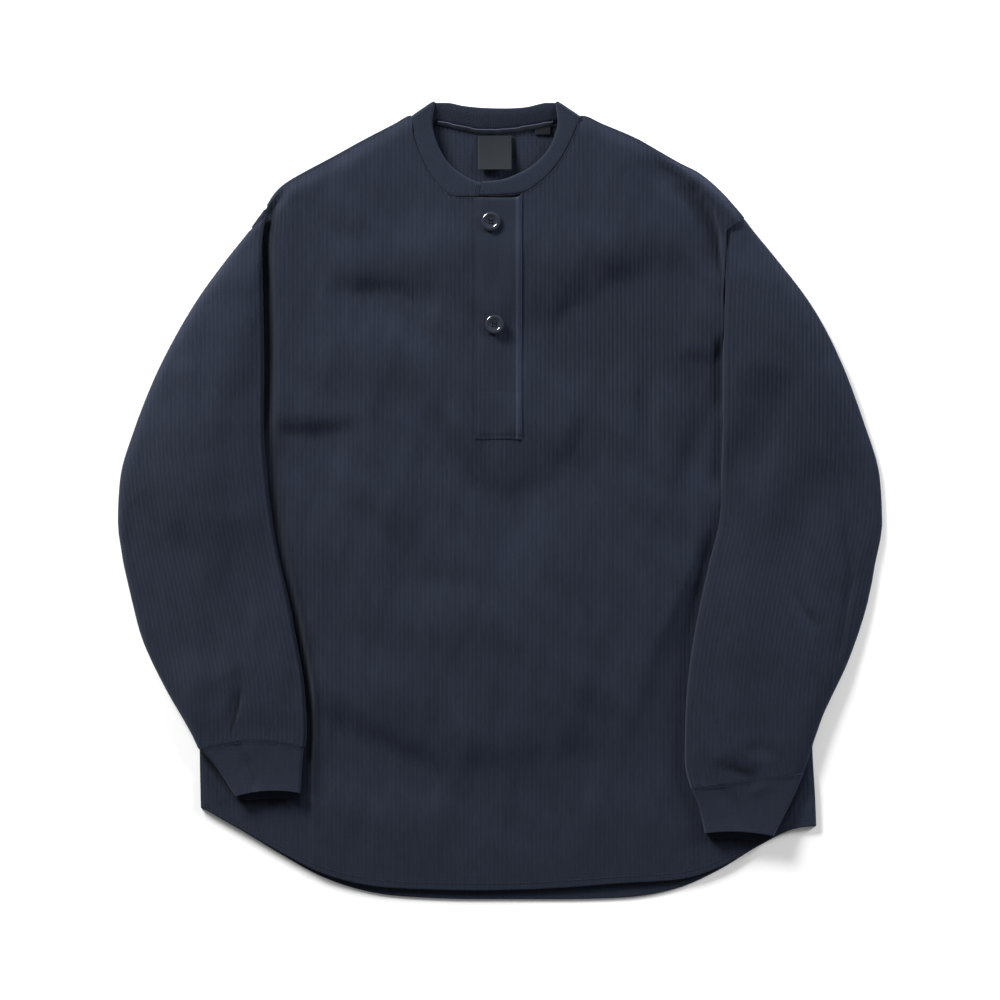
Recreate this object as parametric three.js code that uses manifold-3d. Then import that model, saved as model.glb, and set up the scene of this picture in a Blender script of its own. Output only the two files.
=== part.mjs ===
import * as THREE from "three";
import { mergeVertices } from "three/addons/utils/BufferGeometryUtils.js";
import Module from "manifold-3d";

// Rib-knit thermal top with a two-button neck placket, laid flat with its front up.
// Millimetres, +Z up, +Y toward the collar, and left and right as seen from above.
// The origin is the middle of the garment's box, on the surface that it lies on.

const { clamp, lerp, smoothstep, degToRad } = THREE.MathUtils;

const RIB_PITCH = 4.25; // from one knit rib to the next
const RIB_RELIEF = 0.6; // how far a rib stands over the groove beside it
const WALL = 1.5; // knit at the bottom of a groove
const RIB_WALL = 2.4; // doubled smooth rib of the neckband and the cuffs
const SEAM_GAP = 0.3; // between pieces that are sewn together or lie on each other
const EDGE_GAP = 0.4; // the same between two curved edges, which have unlike steps
const COLUMN_STEP = RIB_PITCH / 2; // one column on each rib and one in each groove
const KEPT_EVERY = 6; // the plain inside of a panel keeps every sixth column

const BACK_THICK = 1.6;
const FRONT_BED = BACK_THICK + SEAM_GAP; // where the front's underside lies on the back
const FRONT_TOP = FRONT_BED + WALL + RIB_RELIEF;
const LARGEST_LIFT = 3.6; // the most that a fold raises the front
const NECK_LIFT = 1.3; // the front rises this much to pass over the back neckband
const ON_BODY = FRONT_TOP + 0.7; // underside of a sleeve or cuff where it lies on the front

const SLEEVE_THICK = 4.6; // two walls and the slack between them
const SEWN_THICK = 3.5; // the same where the sleeve is sewn to the body
const SEWN_END = 200; // below this height the body's edge goes under the sleeve
const SLEEVE_SLACK = 2.0; // the most that a fold adds to the slack
const FOLD_RADIUS = 5; // roundness of a sleeve's pressed edges
const FOLD_RIM = 0.6; // half of the blunt edge that ends a pressed edge
const CUFF_THICK = 5.6;

const BUTTON_RADIUS = 9.75;
const BUTTON_HOLE_RADIUS = 1.0;
const BUTTON_HOLE_SPREAD = 2.3;

// How far along each column its rows lie, closer near the ends.
const PANEL_ROWS = [0, 0.04, 0.14, 0.25, 0.36, 0.47, 0.58, 0.69, 0.8, 0.92, 1];
const SLEEVE_ROWS = [0, 0.02, 0.05, 0.09, 0.16, 0.28, 0.42, 0.56, 0.7, 0.84, 0.96, 1];

// Shoulder line from the armhole to the neck and on to the other armhole.
const SHOULDER = [
  { x: -248.5, y: 270.5 },
  { x: -232.5, y: 296.5 },
  { x: -220.5, y: 312.5 },
  { x: -209.5, y: 320.5 },
  { x: -136.5, y: 360.5 },
  { x: -90.5, y: 383.5 },
  { x: 81.5, y: 383.5 },
  { x: 138.5, y: 360.5 },
  { x: 196.5, y: 328.5 },
  { x: 216.5, y: 312.5 },
  { x: 231.5, y: 296.5 },
  { x: 243.5, y: 281.5 },
];

// Edge of the body from the lower end of the visible armhole seam down to the hem.
const BODY_SIDE = [
  { y: -330, left: -298.5, right: 315.5 },
  { y: -300, left: -299.5, right: 314.5 },
  { y: -240, left: -300.5, right: 311.5 },
  { y: 50, left: -300.5, right: 311.5 },
  { y: 70, left: -281, right: 291 },
  { y: 110, left: -257, right: 259 },
  { y: 150, left: -243, right: 238 },
  { y: 196, left: -237.5, right: 223 },
];

// Curved shirt-tail hems of the two panels.
const HEM = [
  { x: -299.5, back: -307.5, front: -307 },
  { x: -260.5, back: -329, front: -328 },
  { x: -220.5, back: -353, front: -351 },
  { x: -180.5, back: -375, front: -371.5 },
  { x: -140.5, back: -389, front: -383 },
  { x: -100.5, back: -395.5, front: -387.5 },
  { x: -20.5, back: -398.5, front: -389.5 },
  { x: 59.5, back: -398.5, front: -387 },
  { x: 119.5, back: -397, front: -382.5 },
  { x: 179.5, back: -386.5, front: -378.5 },
  { x: 219.5, back: -368.5, front: -366 },
  { x: 259.5, back: -344.5, front: -343 },
  { x: 299.5, back: -326.5, front: -326 },
  { x: 315.5, back: -325.5, front: -325 },
];

// Pressed edges of each sleeve, inner toward the body and outer away from it.
const LEFT_SLEEVE = [
  { y: -250, inner: -195, outer: -300.5 },
  { y: -232, inner: -193.5, outer: -309 },
  { y: -187, inner: -195.5, outer: -335 },
  { y: -140, inner: -201.5, outer: -357.5 },
  { y: -100, inner: -207.5, outer: -368.5 },
  { y: -60, inner: -215.5, outer: -377.5 },
  { y: -20, inner: -223.5, outer: -382.5 },
  { y: 20, inner: -228.5, outer: -380.5 },
  { y: 70, inner: -234.5, outer: -366.5 },
  { y: 140, inner: -235.5, outer: -337.5 },
  { y: 200, inner: -237, outer: -303.5 },
  { y: 240, inner: -238, outer: -274.5 },
  { y: 264, inner: -237, outer: -255.5 },
  { y: 283, inner: -233.5, outer: -241 },
];
const RIGHT_SLEEVE = [
  { y: -290, inner: 190.5, outer: 295 },
  { y: -260, inner: 184, outer: 306.5 },
  { y: -220, inner: 184.5, outer: 319.5 },
  { y: -160, inner: 188, outer: 347.5 },
  { y: -100, inner: 195.5, outer: 367.5 },
  { y: -60, inner: 206.5, outer: 375 },
  { y: -24, inner: 217, outer: 381.5 },
  { y: 20, inner: 220, outer: 379.5 },
  { y: 80, inner: 221.5, outer: 362.5 },
  { y: 160, inner: 222, outer: 330.5 },
  { y: 200, inner: 223, outer: 307.5 },
  { y: 246, inner: 225.5, outer: 272 },
  { y: 268, inner: 226, outer: 254 },
  { y: 284, inner: 227, outer: 241.5 },
];

// Armhole seams where they show, from the outline to the sleeve's inner edge.
const LEFT_ARMHOLE = { outer: { x: -248.5, y: 270.5 }, inner: { x: -233.5, y: 283.5 } };
const RIGHT_ARMHOLE = { outer: { x: 243.5, y: 281.5 }, inner: { x: 225.5, y: 268.5 } };

// Cuffs from the sleeve's end to the mouth: where the two edges are, and how far the middle bows up.
const LEFT_CUFF = [
  { along: 0, leftX: -301, leftY: -247.5, rightX: -196, rightY: -246, bow: 8 },
  { along: 0.35, leftX: -286, leftY: -263, rightX: -197.5, rightY: -262, bow: 7 },
  { along: 1, leftX: -264.5, leftY: -295, rightX: -199.5, rightY: -291.5, bow: 4 },
];
const RIGHT_CUFF = [
  { along: 0, leftX: 190, leftY: -287, rightX: 302.5, rightY: -272, bow: 0 },
  { along: 0.35, leftX: 196.5, leftY: -302, rightX: 293, rightY: -294, bow: 1 },
  { along: 1, leftX: 203.5, leftY: -331.5, rightX: 272.5, rightY: -334.5, bow: 3 },
];
const CUFF_LIP = 8; // how far a cuff's lower layer reaches past the upper one at the mouth

// Soft folds of the front: the middle, the direction, the reach each way and the height.
const FRONT_LIFT = 1.7;
const FRONT_FOLDS = [
  { x: -112, y: 210, turn: 8, length: 62, width: 18, height: -1.6 },
  { x: 70, y: 195, turn: 10, length: 58, width: 20, height: -1.6 },
  { x: 140, y: 246, turn: 42, length: 48, width: 18, height: -1.3 },
  { x: -178, y: 74, turn: -6, length: 52, width: 16, height: -1.6 },
  { x: 153, y: 88, turn: 88, length: 100, width: 13, height: -1.5 },
  { x: 5, y: 0, turn: 0, length: 74, width: 20, height: -1.4 },
  { x: -88, y: 130, turn: -66, length: 66, width: 20, height: 1.5 },
  { x: 85, y: 120, turn: 68, length: 76, width: 24, height: 1.3 },
  { x: -105, y: -42, turn: -40, length: 70, width: 16, height: -1.3 },
  { x: 32, y: -110, turn: 80, length: 90, width: 48, height: 1.8 },
  { x: -130, y: -252, turn: -26, length: 74, width: 18, height: -1.3 },
  { x: -30, y: -292, turn: 2, length: 130, width: 22, height: -1.3 },
  { x: 120, y: -180, turn: 70, length: 80, width: 24, height: 1.2 },
];
const LEFT_SLEEVE_FOLDS = [
  { x: -334, y: -52, turn: 78, length: 52, width: 18, height: -1.2 },
  { x: -292, y: -128, turn: -62, length: 62, width: 14, height: -1.2 },
  { x: -262, y: -96, turn: -66, length: 80, width: 18, height: 1.6 },
  { x: -272, y: 120, turn: 72, length: 80, width: 16, height: 1.2 },
];
const RIGHT_SLEEVE_FOLDS = [
  { x: 293, y: -36, turn: 76, length: 70, width: 18, height: -1.2 },
  { x: 345, y: -84, turn: -84, length: 82, width: 10, height: 1.3 },
  { x: 250, y: 66, turn: 80, length: 66, width: 16, height: -1.0 },
  { x: 242, y: -120, turn: 84, length: 84, width: 20, height: 1.6 },
];

// Neckband: the edge sewn to the body and the free edge that faces the neck.
// The lower end runs in from the left, and the upper end laps over it from the right.
const BAND_LEFT = [
  { seamX: 14, seamY: 302.5, freeX: 13, freeY: 321 },
  { seamX: -4, seamY: 302, freeX: -4, freeY: 316 },
  { seamX: -24, seamY: 302.5, freeX: -20, freeY: 317 },
  { seamX: -46, seamY: 303, freeX: -36, freeY: 324 },
  { seamX: -66, seamY: 319, freeX: -51, freeY: 336 },
  { seamX: -79, seamY: 342, freeX: -62, freeY: 354 },
  { seamX: -87, seamY: 365, freeX: -68, freeY: 377 },
];
const BAND_RIGHT = [
  { seamX: 74, seamY: 367, freeX: 57, freeY: 377 },
  { seamX: 62, seamY: 343, freeX: 49, freeY: 353 },
  { seamX: 45, seamY: 322, freeX: 34, freeY: 336 },
  { seamX: 22, seamY: 307, freeX: 17, freeY: 326 },
  { seamX: 0, seamY: 304.5, freeX: -1, freeY: 319.5 },
  { seamX: -21.5, seamY: 304, freeX: -18, freeY: 318 },
];
const BAND_BACK = [
  { seamX: -62.5, seamY: 378, freeX: -53, freeY: 397 },
  { seamX: -38.5, seamY: 373, freeX: -37, freeY: 394 },
  { seamX: -17.5, seamY: 369.5, freeX: -17, freeY: 392 },
  { seamX: 4, seamY: 370, freeX: 4, freeY: 391.5 },
  { seamX: 25.5, seamY: 373, freeX: 24, freeY: 392.5 },
  { seamX: 51.5, seamY: 377.5, freeX: 46, freeY: 397 },
];
const BAND_FOLD_LEFT = { seamX: -88.5, seamY: 381, freeX: -65, freeY: 397 };
const BAND_FOLD_RIGHT = { seamX: 79.5, seamY: 381, freeX: 55, freeY: 397 };
const BAND_SLACK = 0.8; // between the front and the back of the pressed neckband
const BAND_BACK_Z = RIB_WALL / 2;
const BAND_FRONT_Z = RIB_WALL * 1.5 + BAND_SLACK;
const BAND_LAPPED_Z = BAND_FRONT_Z + RIB_WALL + SEAM_GAP;

const PLACKET = { left: -25.6, right: 21.3, bottom: 60.5, thick: 1.6 };
const TAPE = { width: 4, thick: 1 };
const LABEL = { left: -22.5, right: 11.5, height: 34, thick: 1, rise: 1.4 };
const SIZE_TAB = { left: 34.5, right: 50.5, top: 367.8, bottom: 361, thick: 1 };
const BUTTONS = [
  { name: "upper_button", x: -9.5, y: 278 },
  { name: "lower_button", x: -6, y: 175.5 },
];

const KNIT_NAVY = 0x2d323e;
const TAPE_NAVY = 0x3a3f4d;
const LABEL_GREY = 0x3c3f3e;
const BUTTON_NAVY = 0x1b1f2b;

// Slope of a table's curve at a row: level at a peak or dip, so that the curve never overshoots.
function rowSlope(rows, index, key, value) {
  const steps = [index, index + 1]
    .filter((end) => end > 0 && end < rows.length)
    .map((end) => (rows[end][value] - rows[end - 1][value]) / (rows[end][key] - rows[end - 1][key]));
  const [before, after] = [steps[0], steps[steps.length - 1]];
  if (before * after <= 0) return 0;
  const limit = 2 * Math.min(Math.abs(before), Math.abs(after));
  return Math.sign(before) * Math.min(Math.abs(before + after) / 2, limit);
}

// A column of a table at a place along another of its columns, smooth through the rows.
function readTable(rows, key, at, value) {
  let next = 1;
  while (next < rows.length - 1 && rows[next][key] < at) next += 1;
  const [from, to] = [rows[next - 1], rows[next]];
  const span = to[key] - from[key];
  const t = clamp((at - from[key]) / span, 0, 1);
  const startSlope = rowSlope(rows, next - 1, key, value);
  const endSlope = rowSlope(rows, next, key, value);
  const bend = t * (1 - t) * span;
  const line = lerp(from[value], to[value], t * t * (3 - 2 * t));
  return line + bend * ((1 - t) * startSlope - t * endSlope);
}

// Points through a table of stations, at even steps of its rows.
function spreadStations(rows, perRow) {
  const count = (rows.length - 1) * perRow + 1;
  const numbered = rows.map((row, index) => ({ ...row, index }));
  const keys = Object.keys(rows[0]);
  return Array.from({ length: count }, (_, i) =>
    Object.fromEntries(keys.map((key) => [key, readTable(numbered, "index", i / perRow, key)])),
  );
}

// Height that a table of soft folds adds at a place.
function foldHeight(folds, x, y) {
  let height = 0;
  for (const fold of folds) {
    const turn = degToRad(fold.turn);
    const along = ((x - fold.x) * Math.cos(turn) + (y - fold.y) * Math.sin(turn)) / fold.length;
    const across = ((y - fold.y) * Math.cos(turn) - (x - fold.x) * Math.sin(turn)) / fold.width;
    height += fold.height * Math.exp(-along * along - across * across);
  }
  return height;
}

function geometryFrom(positions, triangles) {
  const geometry = new THREE.BufferGeometry();
  geometry.setAttribute("position", new THREE.Float32BufferAttribute(positions, 3));
  geometry.setIndex(triangles);
  return geometry;
}

// The same geometry with its faces turned out, if they all face in.
function facingOut(positions, triangles) {
  const [a, b, c] = [new THREE.Vector3(), new THREE.Vector3(), new THREE.Vector3()];
  let volume = 0;
  for (let i = 0; i < triangles.length; i += 3) {
    a.fromArray(positions, triangles[i] * 3);
    b.fromArray(positions, triangles[i + 1] * 3);
    c.fromArray(positions, triangles[i + 2] * 3);
    volume += a.dot(b.cross(c));
  }
  return geometryFrom(positions, volume < 0 ? triangles.reverse() : triangles);
}

// A closed sheet of cloth from columns of points that run across it, side by side.
// Every column shapes its top, and the kept ones its plain underside.
function sheetGeometry(columns, topZ, underZ) {
  const positions = [];
  const triangles = [];
  const put = (point, z) => positions.push(point.x, point.y, z) / 3 - 1;
  const quad = (a, b, c, d) => triangles.push(a, b, c, a, c, d);
  const kept = columns.map((column, index) => ({ column, index })).filter(({ column }) => column.kept);
  const top = columns.map((column) => column.points.map((point) => put(point, topZ(point, column))));
  const under = kept.map(({ column }) => column.points.map((point) => put(point, underZ(point, column))));
  const last = columns[0].points.length - 1;

  for (let row = 0; row < last; row += 1) {
    for (let i = 0; i + 1 < top.length; i += 1) {
      quad(top[i][row], top[i][row + 1], top[i + 1][row + 1], top[i + 1][row]);
    }
    for (let i = 0; i + 1 < under.length; i += 1) {
      quad(under[i][row], under[i + 1][row], under[i + 1][row + 1], under[i][row + 1]);
    }
    const [topEnd, underEnd] = [top[top.length - 1], under[under.length - 1]];
    quad(top[0][row], under[0][row], under[0][row + 1], top[0][row + 1]);
    quad(topEnd[row + 1], underEnd[row + 1], underEnd[row], topEnd[row]);
  }

  // The rim at each end joins the many columns of the top to the few of the underside.
  for (const row of [0, last]) {
    const face = (a, b, c) => (row === 0 ? triangles.push(a, b, c) : triangles.push(c, b, a));
    for (let i = 0; i + 1 < kept.length; i += 1) {
      const [start, end] = [kept[i].index, kept[i + 1].index];
      const middle = Math.floor((start + end) / 2);
      for (let fine = start; fine < end; fine += 1) {
        face(top[fine][row], top[fine + 1][row], under[fine < middle ? i : i + 1][row]);
      }
      face(under[i + 1][row], under[i][row], top[middle][row]);
    }
  }
  return facingOut(positions, triangles);
}

// Joins two loops of points, one after the other, by a band of faces.
function joinLoops(triangles, from, to) {
  for (let i = 0; i < from.length; i += 1) {
    const next = (i + 1) % from.length;
    triangles.push(from[i], from[next], to[next], from[i], to[next], to[i]);
  }
}

// A solid swept through loops of points, closed at both ends.
function sweptGeometry(loops) {
  const positions = loops.flat().flatMap((point) => point.toArray());
  const size = loops[0].length;
  const numbers = loops.map((loop, row) => loop.map((_, i) => row * size + i));
  const triangles = [];
  for (let row = 0; row + 1 < loops.length; row += 1) joinLoops(triangles, numbers[row], numbers[row + 1]);
  const [first, end] = [numbers[0], numbers[numbers.length - 1]];
  for (let i = 1; i + 1 < size; i += 1) {
    triangles.push(first[0], first[i + 1], first[i]);
    triangles.push(end[0], end[i], end[i + 1]);
  }
  return facingOut(positions, triangles);
}

// A wall between outer and inner loops, open at both ends.
function tubeGeometry(outer, inner) {
  const positions = [...outer, ...inner].flat().flatMap((point) => point.toArray());
  const size = outer[0].length;
  const number = (row) => Array.from({ length: size }, (_, i) => row * size + i);
  const triangles = [];
  const ends = outer.length;
  for (let row = 0; row + 1 < ends; row += 1) {
    joinLoops(triangles, number(row), number(row + 1));
    joinLoops(triangles, number(ends + row + 1), number(ends + row));
  }
  joinLoops(triangles, number(ends), number(0));
  joinLoops(triangles, number(ends - 1), number(2 * ends - 1));
  return facingOut(positions, triangles);
}

const kernel = await Module();
kernel.setup();

function toSolid(geometry) {
  const plain = geometry.clone();
  plain.deleteAttribute("normal");
  plain.deleteAttribute("uv");
  const merged = mergeVertices(plain, 1e-4);
  return new kernel.Manifold(
    new kernel.Mesh({
      numProp: 3,
      vertProperties: merged.attributes.position.array,
      triVerts: new Uint32Array(merged.index.array),
    }),
  );
}

function cutGeometry(geometry, cutters) {
  let solid = toSolid(geometry);
  for (const cutter of cutters) solid = solid.subtract(toSolid(cutter));
  const mesh = solid.getMesh();
  return geometryFrom(Array.from(mesh.vertProperties), Array.from(mesh.triVerts));
}

// A flat plate of an outline, from one height to another.
function plateGeometry(outline, bottom, top) {
  const shape = new THREE.Shape(outline.map(({ x, y }) => new THREE.Vector2(x, y)));
  const plate = new THREE.ExtrudeGeometry(shape, { depth: top - bottom, bevelEnabled: false });
  return plate.translate(0, 0, bottom);
}

const shoulderY = (x) => readTable(SHOULDER, "x", x, "y");
const frontHemY = (x) => readTable(HEM, "x", x, "front");
const backHemY = (x) => readTable(HEM, "x", x, "back");
const leftSideX = (y) => readTable(BODY_SIDE, "y", y, "left");
const rightSideX = (y) => readTable(BODY_SIDE, "y", y, "right");

// Sleeves

// One sleeve: side is -1 on the left and 1 on the right.
class Sleeve {
  constructor({ side, edges, armhole, cuff, folds, bodySideX }) {
    Object.assign(this, { side, edges, armhole, cuff, folds, bodySideX });
    this.columns = this.makeColumns();
  }

  innerX(y) {
    return readTable(this.edges, "y", y, "inner");
  }

  outerX(y) {
    return readTable(this.edges, "y", y, "outer");
  }

  width(y) {
    return Math.abs(this.outerX(y) - this.innerX(y));
  }

  armholeY(x) {
    const { outer, inner } = this.armhole;
    return lerp(inner.y, outer.y, (x - inner.x) / (outer.x - inner.x));
  }

  cuffSeamY(x) {
    const { leftX, leftY, rightX, rightY, bow } = this.cuff[0];
    const t = clamp((x - leftX) / (rightX - leftX), 0, 1);
    return lerp(leftY, rightY, t) + bow * 4 * t * (1 - t) + EDGE_GAP;
  }

  // Whether the cloth reaches a place that lies some way out from the inner edge.
  covers(out, y) {
    const x = this.innerX(y) + this.side * out;
    return this.width(y) >= out && y <= this.armholeY(x) && y >= this.cuffSeamY(x);
  }

  // The end of a column toward the shoulder or the cuff, closed in on from both sides.
  columnEnd(reaches, insideY, outsideY) {
    let [inside, outside] = [insideY, outsideY];
    for (let step = 0; step < 30; step += 1) {
      const middle = (inside + outside) / 2;
      if (reaches(middle)) inside = middle;
      else outside = middle;
    }
    return inside;
  }

  // Ribs run parallel to the inner edge and end where the outer edge cuts them.
  makeColumns() {
    const heights = Array.from({ length: 60 }, (_, i) => -170 + i * 5);
    const widestY = heights.reduce((best, y) => (this.width(y) > this.width(best) ? y : best));
    const widest = this.width(widestY) - 1; // the outermost column is a short one at the elbow
    this.widestY = widestY;
    const count = Math.round(widest / COLUMN_STEP);
    const columns = [];
    for (let i = 0; i <= count; i += 1) {
      const out = (widest * i) / count;
      const reaches = (y) => this.covers(out, y);
      const [top, bottom] = [320, -320].map((y) => this.columnEnd(reaches, widestY, y));
      const points = SLEEVE_ROWS.map((row) => {
        const y = lerp(top, bottom, row);
        return { x: this.innerX(y) + this.side * out, y, out };
      });
      columns.push({ points, rib: i % 2 === 0, kept: i % KEPT_EVERY === 0 || i === count });
    }
    return this.side > 0 ? columns : columns.reverse();
  }

  // The underside lies on the surface beside the body and on the front panel over it.
  underLevel({ x, y }) {
    const lookAhead = 75; // the body's edge curves out below, so the sleeve rises early
    const inward = this.side * (this.bodySideX(Math.min(y - lookAhead, 196)) - x);
    const nearBody = smoothstep(inward, -36, -11);
    return ON_BODY * nearBody * (1 - smoothstep(y, 222, 262));
  }

  thickness({ x, y }) {
    const slack = clamp(0.7 + foldHeight(this.folds, x, y), 0, SLEEVE_SLACK);
    const edge = smoothstep(this.width(y) / 2 - Math.abs(x - (this.innerX(y) + this.outerX(y)) / 2), 4, 30);
    const sewn = smoothstep(y, 205, 250);
    return lerp(SLEEVE_THICK + slack * edge, SEWN_THICK, sewn);
  }

  // Half the thickness left beside a pressed edge; the edge sewn to the body stays full.
  edgeShare({ y, out }) {
    const innerDistance = out + FOLD_RADIUS * smoothstep(y, 200, 236);
    const outerDistance = Math.max(this.width(y) - out, 0);
    const t = clamp(Math.min(innerDistance, outerDistance) / FOLD_RADIUS, 0, 1);
    return Math.sqrt(1 - (1 - t) * (1 - t));
  }

  middleLevel(point) {
    return this.underLevel(point) + this.thickness(point) / 2;
  }

  halfHeight(point, relief) {
    return lerp(FOLD_RIM, this.thickness(point) / 2 + relief, this.edgeShare(point));
  }

  // The hollow of the tube, which runs out at the armhole and at the cuff.
  cavityGeometry() {
    const edgeInset = 4;
    const pastEnd = 14;
    const shortest = 80;
    const end = SLEEVE_ROWS.length - 1;
    const kept = this.columns.filter(({ kept, points }) => kept && points[0].y - points[end].y > shortest);
    const columns = kept.map(({ points }) => {
      const atInnerEdge = points[0].out < 1;
      const out = atInnerEdge ? 3 : points[0].out;
      const clears = (y) => this.width(y) >= out + edgeInset && y > this.cuff[0].rightY - 2 * pastEnd;
      const top = Math.min(this.columnEnd(clears, this.widestY, 320), points[0].y + pastEnd);
      const bottom = Math.max(this.columnEnd(clears, this.widestY, -320), points[end].y - pastEnd);
      const heights = points.map(({ y }, row) => clamp(y, bottom + end - row, top - row));
      heights[0] = top;
      heights[end] = bottom;
      const inner = heights.map((y) => {
        const drawnOut = atInnerEdge ? lerp(out, -5, smoothstep(y, 205, 235)) : out;
        return { x: this.innerX(y) + this.side * drawnOut, y, out };
      });
      return { points: inner, kept: true, atInnerEdge };
    });
    const outermost = this.side > 0 ? columns[columns.length - 1] : columns[0];
    const half = (point, column) => {
      const closing = column.atInnerEdge || column === outermost;
      return Math.max(closing ? 0.25 : this.halfHeight(point, 0) - BACK_THICK, 0.1);
    };
    return sheetGeometry(
      columns,
      (point, column) => this.middleLevel(point) + half(point, column),
      (point, column) => this.middleLevel(point) - half(point, column),
    );
  }

  geometry() {
    const skin = sheetGeometry(
      this.columns,
      (point, column) => this.middleLevel(point) + this.halfHeight(point, column.rib ? RIB_RELIEF : 0),
      (point) => this.middleLevel(point) - this.halfHeight(point, 0),
    );
    return cutGeometry(skin, [this.cavityGeometry()]);
  }

  // The inner edge from the armhole seam down to where the body's edge goes under the sleeve.
  sewnEdge() {
    const { points } = this.side > 0 ? this.columns[0] : this.columns[this.columns.length - 1];
    const below = points.findIndex(({ y }) => y <= SEWN_END);
    const [from, to] = [points[below - 1], points[below]];
    const x = lerp(from.x, to.x, (SEWN_END - from.y) / (to.y - from.y));
    return [...points.slice(0, below), { x, y: SEWN_END }];
  }
}

const leftSleeve = new Sleeve({
  side: -1,
  edges: LEFT_SLEEVE,
  armhole: LEFT_ARMHOLE,
  cuff: LEFT_CUFF,
  folds: LEFT_SLEEVE_FOLDS,
  bodySideX: leftSideX,
});
const rightSleeve = new Sleeve({
  side: 1,
  edges: RIGHT_SLEEVE,
  armhole: RIGHT_ARMHOLE,
  cuff: RIGHT_CUFF,
  folds: RIGHT_SLEEVE_FOLDS,
  bodySideX: rightSideX,
});

// Outline of the body at an armhole, from the shoulder to the side seam, a seam's gap from the sleeve.
function armholeLine(sleeve) {
  const { side, armhole, bodySideX } = sleeve;
  const cornerRise = side < 0 ? 2 * EDGE_GAP : EDGE_GAP; // the left corner is the sharper one
  const sewn = sleeve.sewnEdge().map(({ x, y }) => ({ x: x - side * EDGE_GAP, y }));
  const line = [
    { x: armhole.outer.x, y: armhole.outer.y + EDGE_GAP },
    { x: armhole.inner.x - side * EDGE_GAP, y: armhole.inner.y + cornerRise },
    ...sewn.slice(1),
  ];
  for (const y of [184, 150, 130, 110, 90, 70, 60, 50]) line.push({ x: bodySideX(y), y });
  return line;
}

// Neckband

function bandSection({ seamX, seamY, freeX, freeY, z, turn }, outward) {
  const seam = new THREE.Vector3(seamX, seamY, z);
  const free = new THREE.Vector3(freeX, freeY, z);
  const across = free.clone().sub(seam).normalize();
  const out = new THREE.Vector3(-across.y, across.x, 0).multiplyScalar(outward);
  const up = new THREE.Vector3(0, 0, Math.cos(turn)).addScaledVector(out, Math.sin(turn));
  const half = RIB_WALL / 2;
  const at = (base, rise, back) => base.clone().addScaledVector(up, rise).addScaledVector(across, -back);
  return [
    at(seam, half, 0),
    at(free, half, half),
    at(free, half * 0.5, 0.15),
    at(free, -half * 0.5, 0.15),
    at(free, -half, half),
    at(seam, -half, 0),
  ];
}

// The band turns over at the side of the neck, from its front to its back.
function bandFold(fold, outward, turns) {
  const radius = (BAND_FRONT_Z - BAND_BACK_Z) / 2;
  const across = new THREE.Vector2(fold.freeX - fold.seamX, fold.freeY - fold.seamY).normalize();
  const out = new THREE.Vector2(-across.y, across.x).multiplyScalar(outward * radius);
  return turns.map((degrees) => {
    const turn = degToRad(degrees);
    const reach = Math.sin(turn);
    return {
      seamX: fold.seamX + out.x * reach,
      seamY: fold.seamY + out.y * reach,
      freeX: fold.freeX + out.x * reach,
      freeY: fold.freeY + out.y * reach,
      z: (BAND_FRONT_Z + BAND_BACK_Z) / 2 + radius * Math.cos(turn),
      turn,
    };
  });
}

const bandLeft = spreadStations([...BAND_LEFT, BAND_FOLD_LEFT], 2);
const bandRight = spreadStations([BAND_FOLD_RIGHT, ...BAND_RIGHT], 2);
const bandBack = spreadStations([BAND_FOLD_LEFT, ...BAND_BACK, BAND_FOLD_RIGHT], 2);

function neckbandGeometry() {
  const front = (station, z) => ({ ...station, z, turn: 0 });
  const lappedZ = (x) => lerp(BAND_FRONT_Z, BAND_LAPPED_Z, 1 - smoothstep(x, 20, 50));
  const turns = [0, 45, 90, 135, 180];
  const sections = [
    ...bandLeft.slice(0, -1).map((station) => bandSection(front(station, BAND_FRONT_Z), 1)),
    ...bandFold(BAND_FOLD_LEFT, 1, turns).map((station) => bandSection(station, 1)),
    ...bandBack.slice(1, -1).map((station) => bandSection({ ...station, z: BAND_BACK_Z, turn: Math.PI }, 1)),
    ...bandFold(BAND_FOLD_RIGHT, -1, turns.toReversed()).map((station) => bandSection(station, -1)),
    ...bandRight.slice(1).map((station) => bandSection(front(station, lappedZ(station.seamX)), -1)),
  ];
  return sweptGeometry(sections);
}

// A line moved sideways by a distance, to its left for a positive one.
function offsetLine(points, distance) {
  return points.map((point, i) => {
    const from = points[Math.max(i - 1, 0)];
    const to = points[Math.min(i + 1, points.length - 1)];
    const length = Math.hypot(to.x - from.x, to.y - from.y);
    return {
      x: point.x - ((to.y - from.y) / length) * distance,
      y: point.y + ((to.x - from.x) / length) * distance,
    };
  });
}

const seamPoint = ({ seamX, seamY }) => ({ x: seamX, y: seamY });

// The neckline of the front, a seam's gap outside the neckband, from left to right.
const LAP_CORNER = { x: 17, y: 301.7 };
const frontNeckline = offsetLine(
  [
    ...bandLeft.filter(({ seamX }) => seamX < -20).map(seamPoint).reverse(),
    LAP_CORNER,
    ...bandRight.filter(({ seamX }) => seamX > 21).map(seamPoint).reverse(),
  ],
  -EDGE_GAP,
);
// The neckline of the back, below the back of the neckband.
const backNeckline = offsetLine(bandBack.map(seamPoint), -EDGE_GAP);

function necklineY(x) {
  const end = frontNeckline.length - 1;
  let next = 1;
  while (next < end && frontNeckline[next].x < x) next += 1;
  const [from, to] = [frontNeckline[next - 1], frontNeckline[next]];
  return lerp(from.y, to.y, clamp((x - from.x) / (to.x - from.x), 0, 1));
}

// Front panel

// Above the neckline and the shoulders, before the neck is cut out.
function frontTopY(x) {
  const end = frontNeckline.length - 1;
  if (x < frontNeckline[0].x || x > frontNeckline[end].x) return shoulderY(x);
  return Math.max(...[-COLUMN_STEP, 0, COLUMN_STEP].map((aside) => necklineY(x + aside))) + 1;
}

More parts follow.
